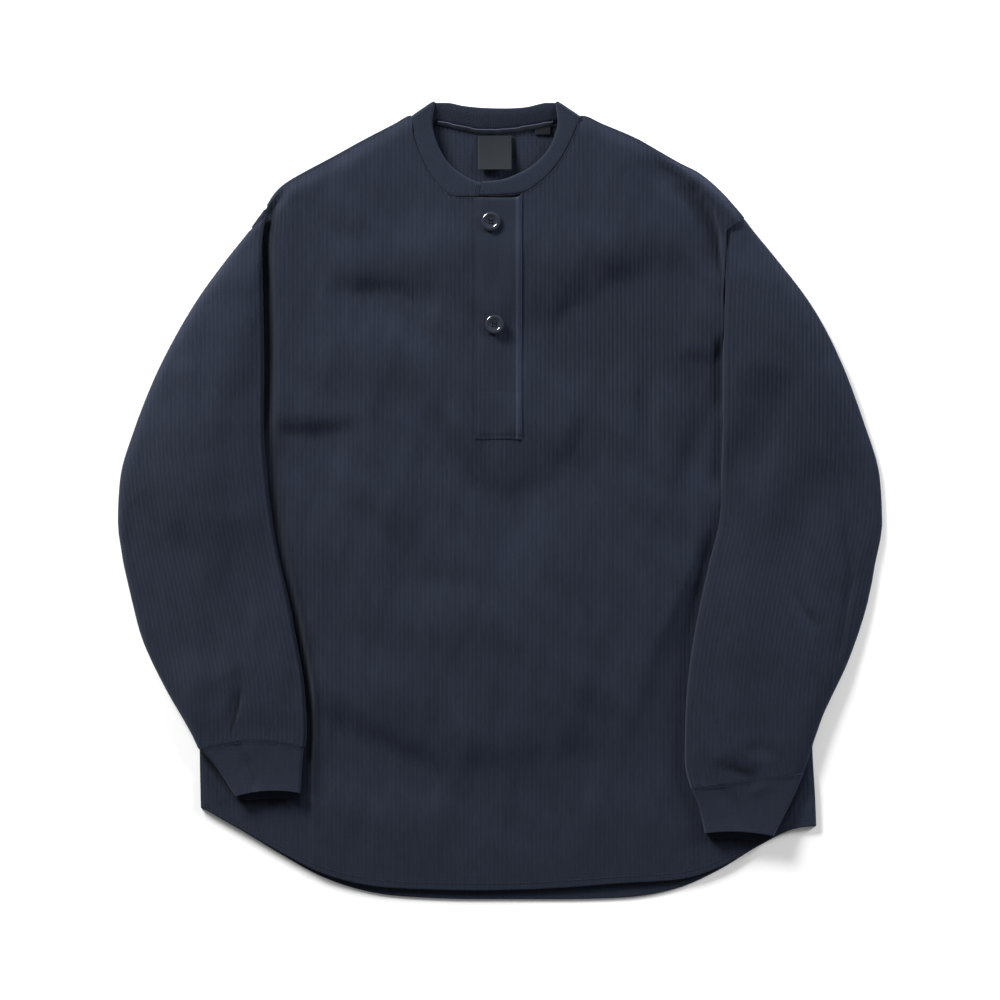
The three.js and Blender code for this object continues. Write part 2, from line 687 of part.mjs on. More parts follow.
function hiddenArmholeY(x, column) {
  const rows = BODY_SIDE.filter(({ y }) => y >= 50).map((row) => ({ across: Math.abs(row[column]), y: row.y }));
  return readTable(rows.reverse(), "across", Math.abs(x), "y");
}

function frontColumnTop(x) {
  if (x < LEFT_ARMHOLE.outer.x + 1) return hiddenArmholeY(x, "left");
  if (x > RIGHT_ARMHOLE.outer.x - 1) return hiddenArmholeY(x, "right");
  return frontTopY(x);
}

// Height of the front's underside over its bed, from the folds and the neckband under it.
function frontLift(x, y) {
  const fromSleeves =
    smoothstep(x - leftSleeve.innerX(y), 6, 60) * smoothstep(rightSleeve.innerX(y) - x, 6, 60);
  const fromHem = smoothstep(y - frontHemY(x), 4, 50);
  const fromShoulder = smoothstep(shoulderY(x) - y, 4, 60);
  const folds = clamp(FRONT_LIFT + foldHeight(FRONT_FOLDS, x, y), 0, LARGEST_LIFT);
  const neckDistance = Math.hypot((x + 4) / 87, (y - 385) / 84);
  const nearNeck = 1 - smoothstep(neckDistance, 1.05, 1.6);
  return lerp(folds * fromSleeves * fromHem * fromShoulder, NECK_LIFT, nearNeck);
}

function frontColumns() {
  const [left, right] = [leftSideX(0), rightSideX(0)];
  const first = Math.ceil((left + 1) / COLUMN_STEP);
  const end = Math.floor((right - 1) / COLUMN_STEP);
  const columns = [];
  const addColumn = (topX, bottomX, rib, kept) => {
    const [top, bottom] = [frontColumnTop(topX), frontHemY(bottomX)];
    const points = PANEL_ROWS.map((row) => ({ x: lerp(topX, bottomX, row), y: lerp(top, bottom, row) }));
    columns.push({ points, rib, kept });
  };
  addColumn(left, leftSideX(-307), false, true);
  for (let i = first; i <= end; i += 1) {
    const x = i * COLUMN_STEP;
    addColumn(x, x, i % 2 === 0, (i - first) % KEPT_EVERY === 0);
  }
  addColumn(right, rightSideX(-325), false, true);
  return columns;
}

const frontUnder = ({ x, y }) => FRONT_BED + frontLift(x, y);
const frontOver = (point, column) => frontUnder(point) + WALL + (column.rib ? RIB_RELIEF : 0);
const frontPanelColumns = frontColumns();

// What the sleeve's side of an armhole takes off a panel.
function armholeCutter(sleeve) {
  const { side } = sleeve;
  const line = armholeLine(sleeve).filter(({ y }) => y > 140);
  const [start, end] = [line[0], line[line.length - 1]];
  const outline = [
    { x: start.x + side * 2, y: start.y + 12 },
    ...line,
    { x: end.x + side * 40, y: end.y },
    { x: end.x + side * 40, y: start.y + 12 },
  ];
  return plateGeometry(outline, -5, 20);
}

// A point past the side of the neck, beside the fold of the neckband, for the neck's cutter.
function besideFold(fold, outward) {
  const reach = 6;
  const across = new THREE.Vector2(fold.freeX - fold.seamX, fold.freeY - fold.seamY).normalize();
  return {
    x: fold.seamX - across.x * EDGE_GAP - across.y * outward * reach,
    y: fold.seamY - across.y * EDGE_GAP + across.x * outward * reach,
  };
}

// What the neck takes off the front.
function neckCutter() {
  const [left, right] = [besideFold(BAND_FOLD_LEFT, 1), besideFold(BAND_FOLD_RIGHT, -1)];
  const above = [right, { x: right.x, y: right.y + 20 }, { x: left.x, y: left.y + 20 }, left];
  return plateGeometry([...frontNeckline, ...above], -5, 20);
}

function frontGeometry() {
  const sheet = sheetGeometry(frontPanelColumns, frontOver, frontUnder);
  return cutGeometry(sheet, [neckCutter(), armholeCutter(leftSleeve), armholeCutter(rightSleeve)]);
}

// Back panel

function backGeometry() {
  const outline = [];
  const step = 12;
  const neckReach = 95; // nearer than this to the middle the neckline takes over
  const shoulders = SHOULDER.slice(1, -1);
  outline.push(...shoulders.filter(({ x }) => x < -neckReach), ...backNeckline);
  outline.push(...shoulders.filter(({ x }) => x > neckReach), ...armholeLine(rightSleeve));
  for (let x = rightSideX(-325); x > leftSideX(-307); x -= step) outline.push({ x, y: backHemY(x) });
  outline.push({ x: leftSideX(-307), y: backHemY(leftSideX(-307)) });
  outline.push(...armholeLine(leftSleeve).reverse());
  return plateGeometry(outline, 0, BACK_THICK);
}

// Placket

// The placket lies on the front's ribs and is made from their points, moved out.
function placketColumns() {
  const ribs = frontPanelColumns.filter(
    ({ rib, points }) => rib && points[0].x >= PLACKET.left && points[0].x <= PLACKET.right,
  );
  return ribs.map((column) => {
    const heights = column.points.map((point) => frontOver(point, column));
    const top = necklineY(column.points[0].x) - EDGE_GAP;
    const inner = column.points.filter(({ y }) => y < top - 5 && y > PLACKET.bottom + 5).map(({ y }) => y);
    const points = [top, ...inner, PLACKET.bottom].map((y) => {
      const next = column.points.findIndex((point) => point.y <= y);
      const [from, to] = [column.points[next - 1], column.points[next]];
      const t = (y - from.y) / (to.y - from.y);
      return { x: from.x, y, z: lerp(heights[next - 1], heights[next], t) };
    });
    return { points, kept: true };
  });
}

const placketPoints = placketColumns();

function placketGeometry() {
  const under = ({ z }) => z + SEAM_GAP;
  return sheetGeometry(placketPoints, (point) => under(point) + PLACKET.thick, under);
}

// Buttons

function buttonGeometry() {
  const edge = BUTTON_RADIUS;
  const profile = [
    [0, 0],
    [edge - 0.6, 0],
    [edge, 0.8],
    [edge, 2.2],
    [edge - 0.8, 3.1],
    [edge - 2.2, 3.1],
    [edge - 3.4, 2.1],
    [0, 1.9],
  ];
  const points = profile.map(([radius, height]) => new THREE.Vector2(radius, height));
  const disc = new THREE.LatheGeometry(points, 24).rotateX(Math.PI / 2);
  const holes = [45, 135, 225, 315].map((degrees) => {
    const turn = degToRad(degrees);
    const hole = new THREE.CylinderGeometry(BUTTON_HOLE_RADIUS, BUTTON_HOLE_RADIUS, 8, 6);
    hole.rotateX(Math.PI / 2);
    return hole.translate(Math.cos(turn) * BUTTON_HOLE_SPREAD, Math.sin(turn) * BUTTON_HOLE_SPREAD, 1);
  });
  return cutGeometry(disc, holes);
}

// Height of the placket's face under a button, at its highest.
function placketTopNear(button) {
  const near = placketPoints.flatMap(({ points }) =>
    points.filter(({ x, y }) => Math.abs(x - button.x) < 14 && Math.abs(y - button.y) < 60),
  );
  return Math.max(...near.map(({ z }) => z)) + SEAM_GAP + PLACKET.thick;
}

// Cuffs

function cuffLoop(station, layer) {
  const { leftX, leftY, rightX, rightY, bow, along } = station;
  const wall = layer === "inner" ? RIB_WALL - 0.2 : 0;
  const inset = layer === "inner" ? 3 : 0;
  const shares = [0, 0.03, 0.1, 0.3, 0.5, 0.7, 0.9, 0.97, 1];
  const width = Math.hypot(rightX - leftX, rightY - leftY);
  const half = CUFF_THICK / 2;
  const at = (share, direction) => {
    const t = (inset + share * (width - 2 * inset)) / width;
    const round = Math.sqrt(1 - (1 - clamp((Math.min(share, 1 - share) * width) / FOLD_RADIUS, 0, 1)) ** 2);
    const lip = direction < 0 ? CUFF_LIP * along * along * Math.min(1, 6 * t * (1 - t)) : 0;
    return new THREE.Vector3(
      lerp(leftX, rightX, t),
      lerp(leftY, rightY, t) + bow * 4 * t * (1 - t) - lip,
      ON_BODY + half + direction * Math.max((half - wall) * round, 0),
    );
  };
  const over = shares.map((share) => at(share, 1));
  const below = shares.slice(1, -1).reverse().map((share) => at(share, -1));
  return [...over, ...below];
}

function cuffGeometry(rows) {
  const stations = [0, 0.35, 0.7, 1].map((along) => ({
    along,
    ...Object.fromEntries(
      ["leftX", "leftY", "rightX", "rightY", "bow"].map((key) => [key, readTable(rows, "along", along, key)]),
    ),
  }));
  return tubeGeometry(
    stations.map((station) => cuffLoop(station, "outer")),
    stations.map((station) => cuffLoop(station, "inner")),
  );
}

// Inside the neck

function tapeGeometry() {
  const shown = bandBack.map(seamPoint).filter(({ x }) => x > -66 && x < 56);
  const upper = offsetLine(shown, -2 * EDGE_GAP);
  const lower = offsetLine(shown, -2 * EDGE_GAP - TAPE.width);
  const bottom = BACK_THICK + SEAM_GAP;
  return plateGeometry([...upper, ...lower.reverse()], bottom, bottom + TAPE.thick);
}

// The label hangs from the tape, and its lower edge stands a little off the back.
function labelGeometry() {
  const top = 364.3;
  const bottom = BACK_THICK + SEAM_GAP;
  const section = (share) => {
    const y = top - share * LABEL.height;
    const z = bottom + LABEL.rise * share * share;
    return [
      new THREE.Vector3(LABEL.left, y, z),
      new THREE.Vector3(LABEL.right, y, z),
      new THREE.Vector3(LABEL.right, y, z + LABEL.thick),
      new THREE.Vector3(LABEL.left, y, z + LABEL.thick),
    ];
  };
  return sweptGeometry([0, 0.35, 0.7, 1].map(section));
}

function sizeTabGeometry() {
  const { left, right, top, bottom, thick } = SIZE_TAB;
  const outline = [
    { x: left, y: bottom + 1 },
    { x: left + 1, y: bottom },
    { x: right - 1, y: bottom },
    { x: right, y: bottom + 1 },
    { x: right, y: top + 2 },
    { x: left, y: top },
  ];
  const under = BACK_THICK + SEAM_GAP;
  return plateGeometry(outline, under, under + thick);
}

const knit = new THREE.MeshStandardMaterial({ color: KNIT_NAVY, roughness: 0.92, metalness: 0 });
const smoothRib = new THREE.MeshStandardMaterial({ color: KNIT_NAVY, roughness: 0.88, metalness: 0 });
const tapeCloth = new THREE.MeshStandardMaterial({ color: TAPE_NAVY, roughness: 0.85, metalness: 0 });
const labelCloth = new THREE.MeshStandardMaterial({ color: LABEL_GREY, roughness: 0.7, metalness: 0 });
const gloss = new THREE.MeshStandardMaterial({ color: BUTTON_NAVY, roughness: 0.12, metalness: 0 });

const top = new THREE.Group();

function addPiece(name, geometry, material) {
  const mesh = new THREE.Mesh(geometry, material);
  mesh.name = name;
  top.add(mesh);
  return mesh;
}

addPiece("back_panel", backGeometry(), knit);
addPiece("front_panel", frontGeometry(), knit);
addPiece("left_sleeve", leftSleeve.geometry(), knit);
addPiece("right_sleeve", rightSleeve.geometry(), knit);
addPiece("left_cuff", cuffGeometry(LEFT_CUFF), smoothRib);
addPiece("right_cuff", cuffGeometry(RIGHT_CUFF), smoothRib);
addPiece("neckband", neckbandGeometry(), smoothRib);
addPiece("placket", placketGeometry(), smoothRib);
addPiece("neck_tape", tapeGeometry(), tapeCloth);
addPiece("neck_label", labelGeometry(), labelCloth);
addPiece("size_tab", sizeTabGeometry(), labelCloth);
for (const button of BUTTONS) {
  const mesh = addPiece(button.name, buttonGeometry(), gloss);
  mesh.position.set(button.x, button.y, placketTopNear(button) + SEAM_GAP);
}

const box = new THREE.Box3().setFromObject(top);
top.position.set(-(box.min.x + box.max.x) / 2, -(box.min.y + box.max.y) / 2, -box.min.z);

export default top;
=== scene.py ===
"""Looks of the thermal top: a rib-knit top with a buttoned placket, laid flat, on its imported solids.

Shapes are drawn in millimetres, seen from above with the collar up, as in the part's own drawing.
Left and right are the viewer's.
"""

from __future__ import annotations

import logging
import math
from collections.abc import Callable, Sequence
from dataclasses import dataclass
from enum import Enum

import bpy
import numpy as np
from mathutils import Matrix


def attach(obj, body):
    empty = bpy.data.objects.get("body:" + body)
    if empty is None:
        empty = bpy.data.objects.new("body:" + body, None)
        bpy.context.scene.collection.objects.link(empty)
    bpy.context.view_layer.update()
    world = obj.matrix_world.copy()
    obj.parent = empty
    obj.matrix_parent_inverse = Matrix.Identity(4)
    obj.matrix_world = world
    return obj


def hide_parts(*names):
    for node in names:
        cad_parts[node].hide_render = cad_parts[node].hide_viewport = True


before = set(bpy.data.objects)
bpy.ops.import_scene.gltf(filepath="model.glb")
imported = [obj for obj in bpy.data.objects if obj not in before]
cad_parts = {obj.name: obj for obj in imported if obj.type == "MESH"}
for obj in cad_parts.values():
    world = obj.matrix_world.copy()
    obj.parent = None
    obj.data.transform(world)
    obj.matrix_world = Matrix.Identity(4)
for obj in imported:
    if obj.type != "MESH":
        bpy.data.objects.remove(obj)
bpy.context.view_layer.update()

LOG = logging.getLogger("thermal_top")

MM = 0.001
DRAWING_SHIFT = (0.5, -0.13, 0.0)  # from the drawing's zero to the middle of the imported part

RIB_PITCH = 4.25  # from one rib to the next
RIB_RELIEF = 0.6  # height of the ribs
BACK_RELIEF = 0.35
WALL = 1.5  # thickness of one layer of the knit
RIB_WALL = 2.4  # thickness of the neckband
COLUMNS_PER_RIB = 4
BACK_THICK = 1.6
FRONT_BED = 1.9  # height of the front's lower face where it lies on the back
ON_BODY = 4.7  # height at which a sleeve or cuff lies on the body
SLEEVE_THICK = 4.6
SEWN_THICK = 7.6  # thickness of a sleeve at its armhole
FOLD_RADIUS = 3.2  # how far in from a pressed edge the cloth is round
FOLD_RIM = 0.6  # half of the thickness at the pressed edge itself
CUFF_THICK = 5.6
CUFF_LIP = 8.0  # how far a cuff's lower layer reaches past its mouth
NECK_TUCK = 0.15  # how far a panel stops short of the neckband's seam
PANEL_LEFT = -236.6  # the body's outermost columns beside the armholes
PANEL_RIGHT = 222.6
BESIDE = 30.0  # width of the columns that are moved to follow the armholes

Array = np.ndarray
UP = np.array([0.0, 0.0, 1.0])


def smooth_step(value: Array, low: float, high: float) -> Array:
    """Rise smoothly from 0 to 1.

    Args:
        value: Where to read the step.
        low: Where it leaves 0.
        high: Where it reaches 1.

    Returns:
        The height of the step at each value.
    """
    share = np.clip((np.asarray(value, float) - low) / (high - low), 0.0, 1.0)
    return share * share * (3.0 - 2.0 * share)


def mix(start: Array, end: Array, share: Array) -> Array:
    """Go from start to end by a share from 0 to 1."""
    return start + (end - start) * share


def rounded(distance: Array, radius: float) -> Array:
    """Share of its full height that a round edge has at a distance from its rim."""
    return np.sqrt(1.0 - (1.0 - np.clip(distance / radius, 0.0, 1.0)) ** 2)


class Curve:
    """A smooth line through the rows of a table, level at each peak, so that it never swings past one."""

    def __init__(self, keys: Sequence[float], values: Sequence[float]) -> None:
        """Keep the rows and work out the slope at each.

        Args:
            keys: Rising places.
            values: What the line reads there.
        """
        self.keys = np.asarray(keys, float)
        self.values = np.asarray(values, float)
        steps = np.diff(self.values) / np.diff(self.keys)
        before = np.concatenate([steps[:1], steps])
        after = np.concatenate([steps, steps[-1:]])
        limit = 2.0 * np.minimum(np.abs(before), np.abs(after))
        slopes = np.sign(before) * np.minimum(np.abs(before + after) / 2.0, limit)
        self.slopes = np.where(before * after <= 0.0, 0.0, slopes)

    def __call__(self, at: Array) -> Array:
        """Read the line.

        Args:
            at: Places to read it at.

        Returns:
            The line's value at each place.
        """
        at = np.asarray(at, float)
        end = np.clip(np.searchsorted(self.keys, at), 1, len(self.keys) - 1)
        start = end - 1
        span = self.keys[end] - self.keys[start]
        t = np.clip((at - self.keys[start]) / span, 0.0, 1.0)
        line = mix(self.values[start], self.values[end], t * t * (3.0 - 2.0 * t))
        bend = t * (1.0 - t) * span
        return line + bend * ((1.0 - t) * self.slopes[start] - t * self.slopes[end])


SHOULDER = Curve(
    (-249.5, -243.5, -237.5, -232.5, -227.5, -220.5, -209.5, -195.5, -165.5, -136.5, -105.5, -89.5)
    + (81.5, 101.5, 138.5, 152.5, 180.5, 196.5, 207.5, 216.5, 224.5, 231.5, 238.5, 244.5),
    (272.0, 280.5, 288.5, 296.5, 304.5, 312.5, 320.5, 328.5, 344.5, 360.5, 376.5, 384.5)
    + (384.5, 376.5, 360.5, 352.5, 336.5, 328.5, 320.5, 312.5, 304.5, 296.5, 288.5, 281.0),
)
SIDE_KEYS = (-330, -300, -240, 50, 70, 110, 150, 196)
LEFT_SIDE = Curve(SIDE_KEYS, (-298.5, -299.5, -300.5, -300.5, -281, -257, -243, -237.5))
RIGHT_SIDE = Curve(SIDE_KEYS, (315.5, 314.5, 311.5, 311.5, 291, 259, 238, 223))
HIDDEN_LEFT_ARMHOLE = Curve((237.5, 243, 257, 281, 300.5), (196, 150, 110, 70, 50))
HIDDEN_RIGHT_ARMHOLE = Curve((223, 238, 259, 291, 311.5), (196, 150, 110, 70, 50))

HEM_KEYS = (
    *(-299.5, -260.5, -220.5, -180.5, -140.5, -100.5, -20.5),
    *(59.5, 119.5, 179.5, 219.5, 259.5, 299.5, 315.5),
)
BACK_HEM = Curve(
    HEM_KEYS,
    (-307.5, -329, -353, -375, -389, -395.5, -398.5, -398.5, -397, -386.5, -368.5, -344.5, -326.5, -325.5),
)
FRONT_HEM = Curve(
    HEM_KEYS,
    (-307, -328, -351, -371.5, -383, -387.5, -389.5, -387, -382.5, -378.5, -366, -343, -326, -325),
)


class Field:
    """Anything that raises or lowers cloth from place to place."""

    def lift(self, x: Array, y: Array) -> Array:
        """Give the height that it adds at each place."""
        raise NotImplementedError


@dataclass(frozen=True)
class Fold(Field):
    """A broad soft fold: its middle, direction, reach each way and height."""

    x: float
    y: float
    turn: float
    length: float
    width: float
    height: float

    def lift(self, x: Array, y: Array) -> Array:
        """Give the height that the fold adds.

        Args:
            x: Places across.
            y: Places along.

        Returns:
            The height at each place.
        """
        turn = math.radians(self.turn)
        along = ((x - self.x) * math.cos(turn) + (y - self.y) * math.sin(turn)) / self.length
        across = ((y - self.y) * math.cos(turn) - (x - self.x) * math.sin(turn)) / self.width
        return self.height * np.exp(-along * along - across * across)


@dataclass(frozen=True)
class Crease(Field):
    """A fold that follows a line and fades at its ends; its left and right flanks differ in width."""

    path: tuple[tuple[float, float], ...]
    left: float
    right: float
    height: float

    def lift(self, x: Array, y: Array) -> Array:
        """Give the height that the crease adds.

        Args:
            x: Places across.
            y: Places along.

        Returns:
            The height at each place.
        """
        points = np.asarray(self.path, float)
        lengths = np.hypot(*np.diff(points, axis=0).T)
        travelled = np.concatenate([[0.0], np.cumsum(lengths)])
        nearest = np.full(x.shape, np.inf)
        signed = np.zeros(x.shape)
        share = np.zeros(x.shape)
        for start, end, length, before in zip(points[:-1], points[1:], lengths, travelled):
            ahead = (end - start) / length
            along = np.clip((x - start[0]) * ahead[0] + (y - start[1]) * ahead[1], 0.0, length)
            dx = x - start[0] - along * ahead[0]
            dy = y - start[1] - along * ahead[1]
            distance = np.hypot(dx, dy)
            side = np.sign(ahead[0] * dy - ahead[1] * dx)
            closer = distance < nearest
            nearest = np.where(closer, distance, nearest)
            signed = np.where(closer, side * distance, signed)
            share = np.where(closer, (before + along) / travelled[-1], share)
        width = mix(self.right, self.left, smooth_step(signed, -0.5 * self.right, 0.5 * self.left))
        fade = np.sin(math.pi * np.clip(share, 0.02, 0.98)) ** 0.8
        return self.height * fade * np.exp(-((nearest / width) ** 2))


class Ripple(Field):
    """Faint unevenness of cloth that lies on its own: many weak waves of unlike length."""

    def __init__(self, seed: int, height: float, shortest: float, longest: float, stretch: float) -> None:
        """Draw the waves.

        Args:
            seed: Start of the random draws.
            height: Height of all the waves together.
            shortest: Length of the shortest wave.
            longest: Length of the longest wave.
            stretch: How much longer the waves are along the cloth than across it.
        """
        draws = np.random.default_rng(seed)
        count = 18
        turns = draws.uniform(0.0, math.pi, count)
        lengths = np.exp(draws.uniform(math.log(shortest), math.log(longest), count))
        self.across = 2.0 * math.pi * np.cos(turns) / lengths
        self.along = 2.0 * math.pi * np.sin(turns) / (lengths * stretch)
        self.starts = draws.uniform(0.0, 2.0 * math.pi, count)
        self.heights = height * lengths / lengths.sum() * math.sqrt(count)

    def lift(self, x: Array, y: Array) -> Array:
        """Give the height of all the waves at each place.

        Args:
            x: Places across.
            y: Places along.

        Returns:
            The heights.
        """
        total = np.zeros(np.shape(x))
        for across, along, start, height in zip(self.across, self.along, self.starts, self.heights):
            total += height * np.cos(across * x + along * y + start)
        return total


def all_lifts(fields: Sequence[Field], x: Array, y: Array) -> Array:
    """Add up what several folds lift at each place.

    Args:
        fields: The folds.
        x: Places across.
        y: Places along.

    Returns:
        The heights.
    """
    total = np.zeros(np.shape(x))
    for one in fields:
        total += one.lift(x, y)
    return total


# Painted shade: a point's rib value sets how pale its cloth is painted, and this is the darkest it may go.
DEEPEST_SHADE = -0.5  # the least that a point's rib value may be


class MeshDraft:
    """Points and faces of one piece, gathered before they become a mesh."""

    def __init__(self) -> None:
        """Start with no points."""
        self.points: list[Array] = []
        self.places: list[Array] = []
        self.ribs: list[Array] = []
        self.faces: list[Array] = []
        self.count = 0

    def add_points(self, points: Array, places: Array | None = None, rib: Array | None = None) -> int:
        """Add points.

        Args:
            points: Rows of x, y, z in millimetres of the drawing.
            places: Where each point is on the flat cloth, across and along; x and y when left out.
            rib: Painted shade and painted light at each point, which set how pale the cloth is: 0 as in a
                groove, 1 as on a rib, less in painted shade, more in painted light.

        Returns:
            The number of the first of them.
        """
        start = self.count
        total = len(points)
        self.points.append(np.asarray(points, float))
        self.places.append(np.asarray(points[:, :2] if places is None else places, float))
        values = np.full(total, 0.5) if rib is None else np.asarray(rib, float)
        self.ribs.append(np.maximum(values, DEEPEST_SHADE))
        self.count += total
        return start

    def add_faces(self, faces: Array) -> None:
        """Add faces that have the same number of corners each.

        Args:
            faces: The numbers of each face's corners, a face in each row.
        """
        faces = np.asarray(faces, int)
        if faces.size:
            self.faces.append(faces)

    def add_sheet(
        self,
        x: Array,
        y: Array,
        top: Array,
        under: Array,
        keep: int,
        places: Array | None = None,
        rib: Array | None = None,
    ) -> None:
        """Add a closed sheet of cloth between two heights over a net of columns and rows.

        Args:
            x: Places across, one row of numbers a column.
            y: Places along, falling in each column.
            top: Height of the upper face.
            under: Height of the lower face.
            keep: The lower face keeps one column of so many.
            places: Places on the flat cloth, in the same net.
            rib: Painted shade and painted light that set how pale the cloth is, in the same net.
        """
        columns, rows = x.shape
        flat = np.stack([x, y], axis=-1) if places is None else places
        ribs = np.full(x.shape, 0.5) if rib is None else rib
        kept = np.unique(np.append(np.arange(0, columns, keep), columns - 1))
        upper = self.add_points(
            np.stack([x, y, top], axis=-1).reshape(-1, 3), flat.reshape(-1, 2), ribs.reshape(-1)
        )
        upper = upper + np.arange(columns * rows).reshape(columns, rows)
        lower_points = np.stack([x[kept], y[kept], under[kept]], axis=-1).reshape(-1, 3)
        lower = self.add_points(lower_points, flat[kept].reshape(-1, 2), np.full(len(lower_points), 0.3))
        lower = lower + np.arange(len(kept) * rows).reshape(len(kept), rows)

        self.add_faces(net_faces(upper))
        self.add_faces(net_faces(lower)[:, ::-1])
        for side, flip in ((0, 1), (-1, -1)):
            rim = np.stack([upper[side, :-1], lower[side, :-1], lower[side, 1:], upper[side, 1:]], axis=-1)
            self.add_faces(rim[:, ::flip])
        for index, (start, end) in enumerate(zip(kept[:-1], kept[1:])):
            for row, flip in ((0, 1), (-1, -1)):
                face = np.concatenate([upper[start : end + 1, row], lower[[index + 1, index], row]])
                self.add_faces(face[::flip][None, :])

    def add_tube(
        self,
        rings: Array,
        places: Array | None = None,
        rib: Array | None = None,
        turn: int = 1,
        end_turn: int = 1,
    ) -> None:
        """Add a tube with flat ends through rings of points.

        Args:
            rings: The rings' x, y, z, a row of points for each ring.
            places: Places on the flat cloth, in the same rows.
            rib: Painted shade and painted light that set how pale the cloth is, in the same rows.
            turn: 1 or -1, the way round of the wall's faces.
            end_turn: 1 or -1, the way round of the first end; the last end goes the other way.
        """
        count, around = rings.shape[:2]
        flat = None if places is None else places.reshape(-1, 2)
        start = self.add_points(rings.reshape(-1, 3), flat, None if rib is None else rib.reshape(-1))
        numbers = start + np.arange(count * around).reshape(count, around)
        closed = np.concatenate([numbers, numbers[:, :1]], axis=1)
        self.add_faces(net_faces(closed)[:, ::turn])
        self.add_faces(numbers[:1, ::end_turn])
        self.add_faces(numbers[-1:, ::-end_turn])

    def build(self, name: str) -> bpy.types.Object:
        """Make the piece from all that was added.

        Args:
            name: The piece's name.

        Returns:
            The new object, in the scene.
        """
        points = (np.concatenate(self.points) + np.array(DRAWING_SHIFT)) * MM
        corners = np.concatenate([faces.reshape(-1) for faces in self.faces])
        sizes = np.concatenate([np.full(len(faces), faces.shape[1]) for faces in self.faces])
        mesh = bpy.data.meshes.new(name)
        mesh.vertices.add(len(points))
        mesh.vertices.foreach_set("co", points.reshape(-1))
        mesh.loops.add(len(corners))
        mesh.loops.foreach_set("vertex_index", corners)
        mesh.polygons.add(len(sizes))
        mesh.polygons.foreach_set("loop_start", np.concatenate([[0], np.cumsum(sizes)[:-1]]))
        mesh.polygons.foreach_set("use_smooth", np.ones(len(sizes), bool))
        mesh.update(calc_edges=True)
        layer = mesh.uv_layers.new(name="cloth")
        places = np.concatenate(self.places)[corners] * MM
        layer.data.foreach_set("uv", places.reshape(-1))
        # The rib attribute carries painted shade and painted light: the cloth's material darkens or lightens
        # its colour by it.
        height = mesh.attributes.new("rib", "FLOAT", "POINT")
        height.data.foreach_set("value", np.concatenate(self.ribs))
        mesh.validate()
        made = bpy.data.objects.new(name, mesh)
        bpy.context.scene.collection.objects.link(made)
        return made


def net_faces(numbers: Array) -> Array:
    """Join a net of points.

    Args:
        numbers: The points' numbers, one row of them a column of the net.

    Returns:
        Four-cornered faces that look up where columns go right and rows go down.
    """
    faces = np.stack([numbers[:-1, :-1], numbers[:-1, 1:], numbers[1:, 1:], numbers[1:, :-1]], axis=-1)
    return faces.reshape(-1, 4)


def rows_between(top: Array, bottom: Array, count: int, close: Sequence[float]) -> Array:
    """Spread rows down each column, with some close to each end.

    Args:
        top: Upper end of each column.
        bottom: Lower end of each column.
        count: Rows in between.
        close: Distances from an end, in millimetres, at which there is a row of its own.

    Returns:
        Heights of the rows, one row of numbers a column.
    """
    room = np.asarray(top - bottom, float)[:, None]
    near = np.asarray(close, float)[None, :] * np.minimum(1.0, room / (4.0 * close[-1]))
    start = top[:, None] - near
    finish = (bottom[:, None] + near)[:, ::-1]
    shares = np.linspace(0.0, 1.0, count + 2)[None, 1:-1]
    middle = mix(start[:, -1:], finish[:, :1], shares)
    return np.concatenate([start, middle, finish], axis=1)


def rib_strength(x: Array, y: Array) -> Array:
    """How clearly the ribs stand out: most on the chest at the right and on the upper right sleeve.

    Args:
        x: Places across.
        y: Places along.

    Returns:
        The strength, 1 where the ribs are as high as they get.
    """
    chest = np.exp(-(((x - 120.0) / 110.0) ** 2) - ((y - 140.0) / 120.0) ** 2)
    sleeve = np.exp(-(((x - 300.0) / 60.0) ** 2) - ((y - 130.0) / 110.0) ** 2)
    return np.clip(0.5 + 0.5 * chest + 0.5 * sleeve - 0.2 * smooth_step(-y, 150.0, 330.0), 0.0, 1.0)


def rib_share(across: Array, softness: float = 0.8) -> Array:
    """Height of a rib's rounded profile, from 0 in the groove to 1 on the crest."""
    wave = 0.5 + 0.5 * np.cos(2.0 * math.pi * np.asarray(across, float) / RIB_PITCH)
    return wave**softness


class Slot(Enum):
    """The record's material slots."""

    KNIT = "rib_knit"
    SMOOTH = "smooth_rib"
    TAPE = "neck_tape"
    LABEL = "label"
    BUTTON = "button"


class GroupDraft:
    """A shader node group in the making, with named inputs and outputs."""

    def __init__(self, name: str) -> None:
        """Start an empty group of that name.

        Args:
            name: The group's name.
        """
        self.tree = bpy.data.node_groups.new(name, "ShaderNodeTree")
        self.start = self.tree.nodes.new("NodeGroupInput")
        self.end = self.tree.nodes.new("NodeGroupOutput")

    def takes(self, name: str, kind: str, value: object = None) -> None:
        """Give the group an input.

        Args:
            name: The input's name.
            kind: Float, Vector or Color.
            value: What it holds if nothing is joined to it.
        """
        socket = self.tree.interface.new_socket(name, in_out="INPUT", socket_type=f"NodeSocket{kind}")
        if value is not None:
            socket.default_value = value

    def gives(self, name: str, kind: str, source: bpy.types.NodeSocket) -> None:
        """Give the group an output, fed by source."""
        self.tree.interface.new_socket(name, in_out="OUTPUT", socket_type=f"NodeSocket{kind}")
        self.tree.links.new(source, self.end.inputs[name])

    def read(self, name: str) -> bpy.types.NodeSocket:
        """Give the socket that an input comes in by."""
        return self.start.outputs[name]

    def node(self, kind: str, **values: object) -> bpy.types.Node:
        """Add a node and set its values."""
        return add_node(self.tree, kind, **values)

    def maths(self, operation: str, *inputs: object) -> bpy.types.NodeSocket:
        """Add a sum and give its result."""
        return maths(self.tree, operation, *inputs)


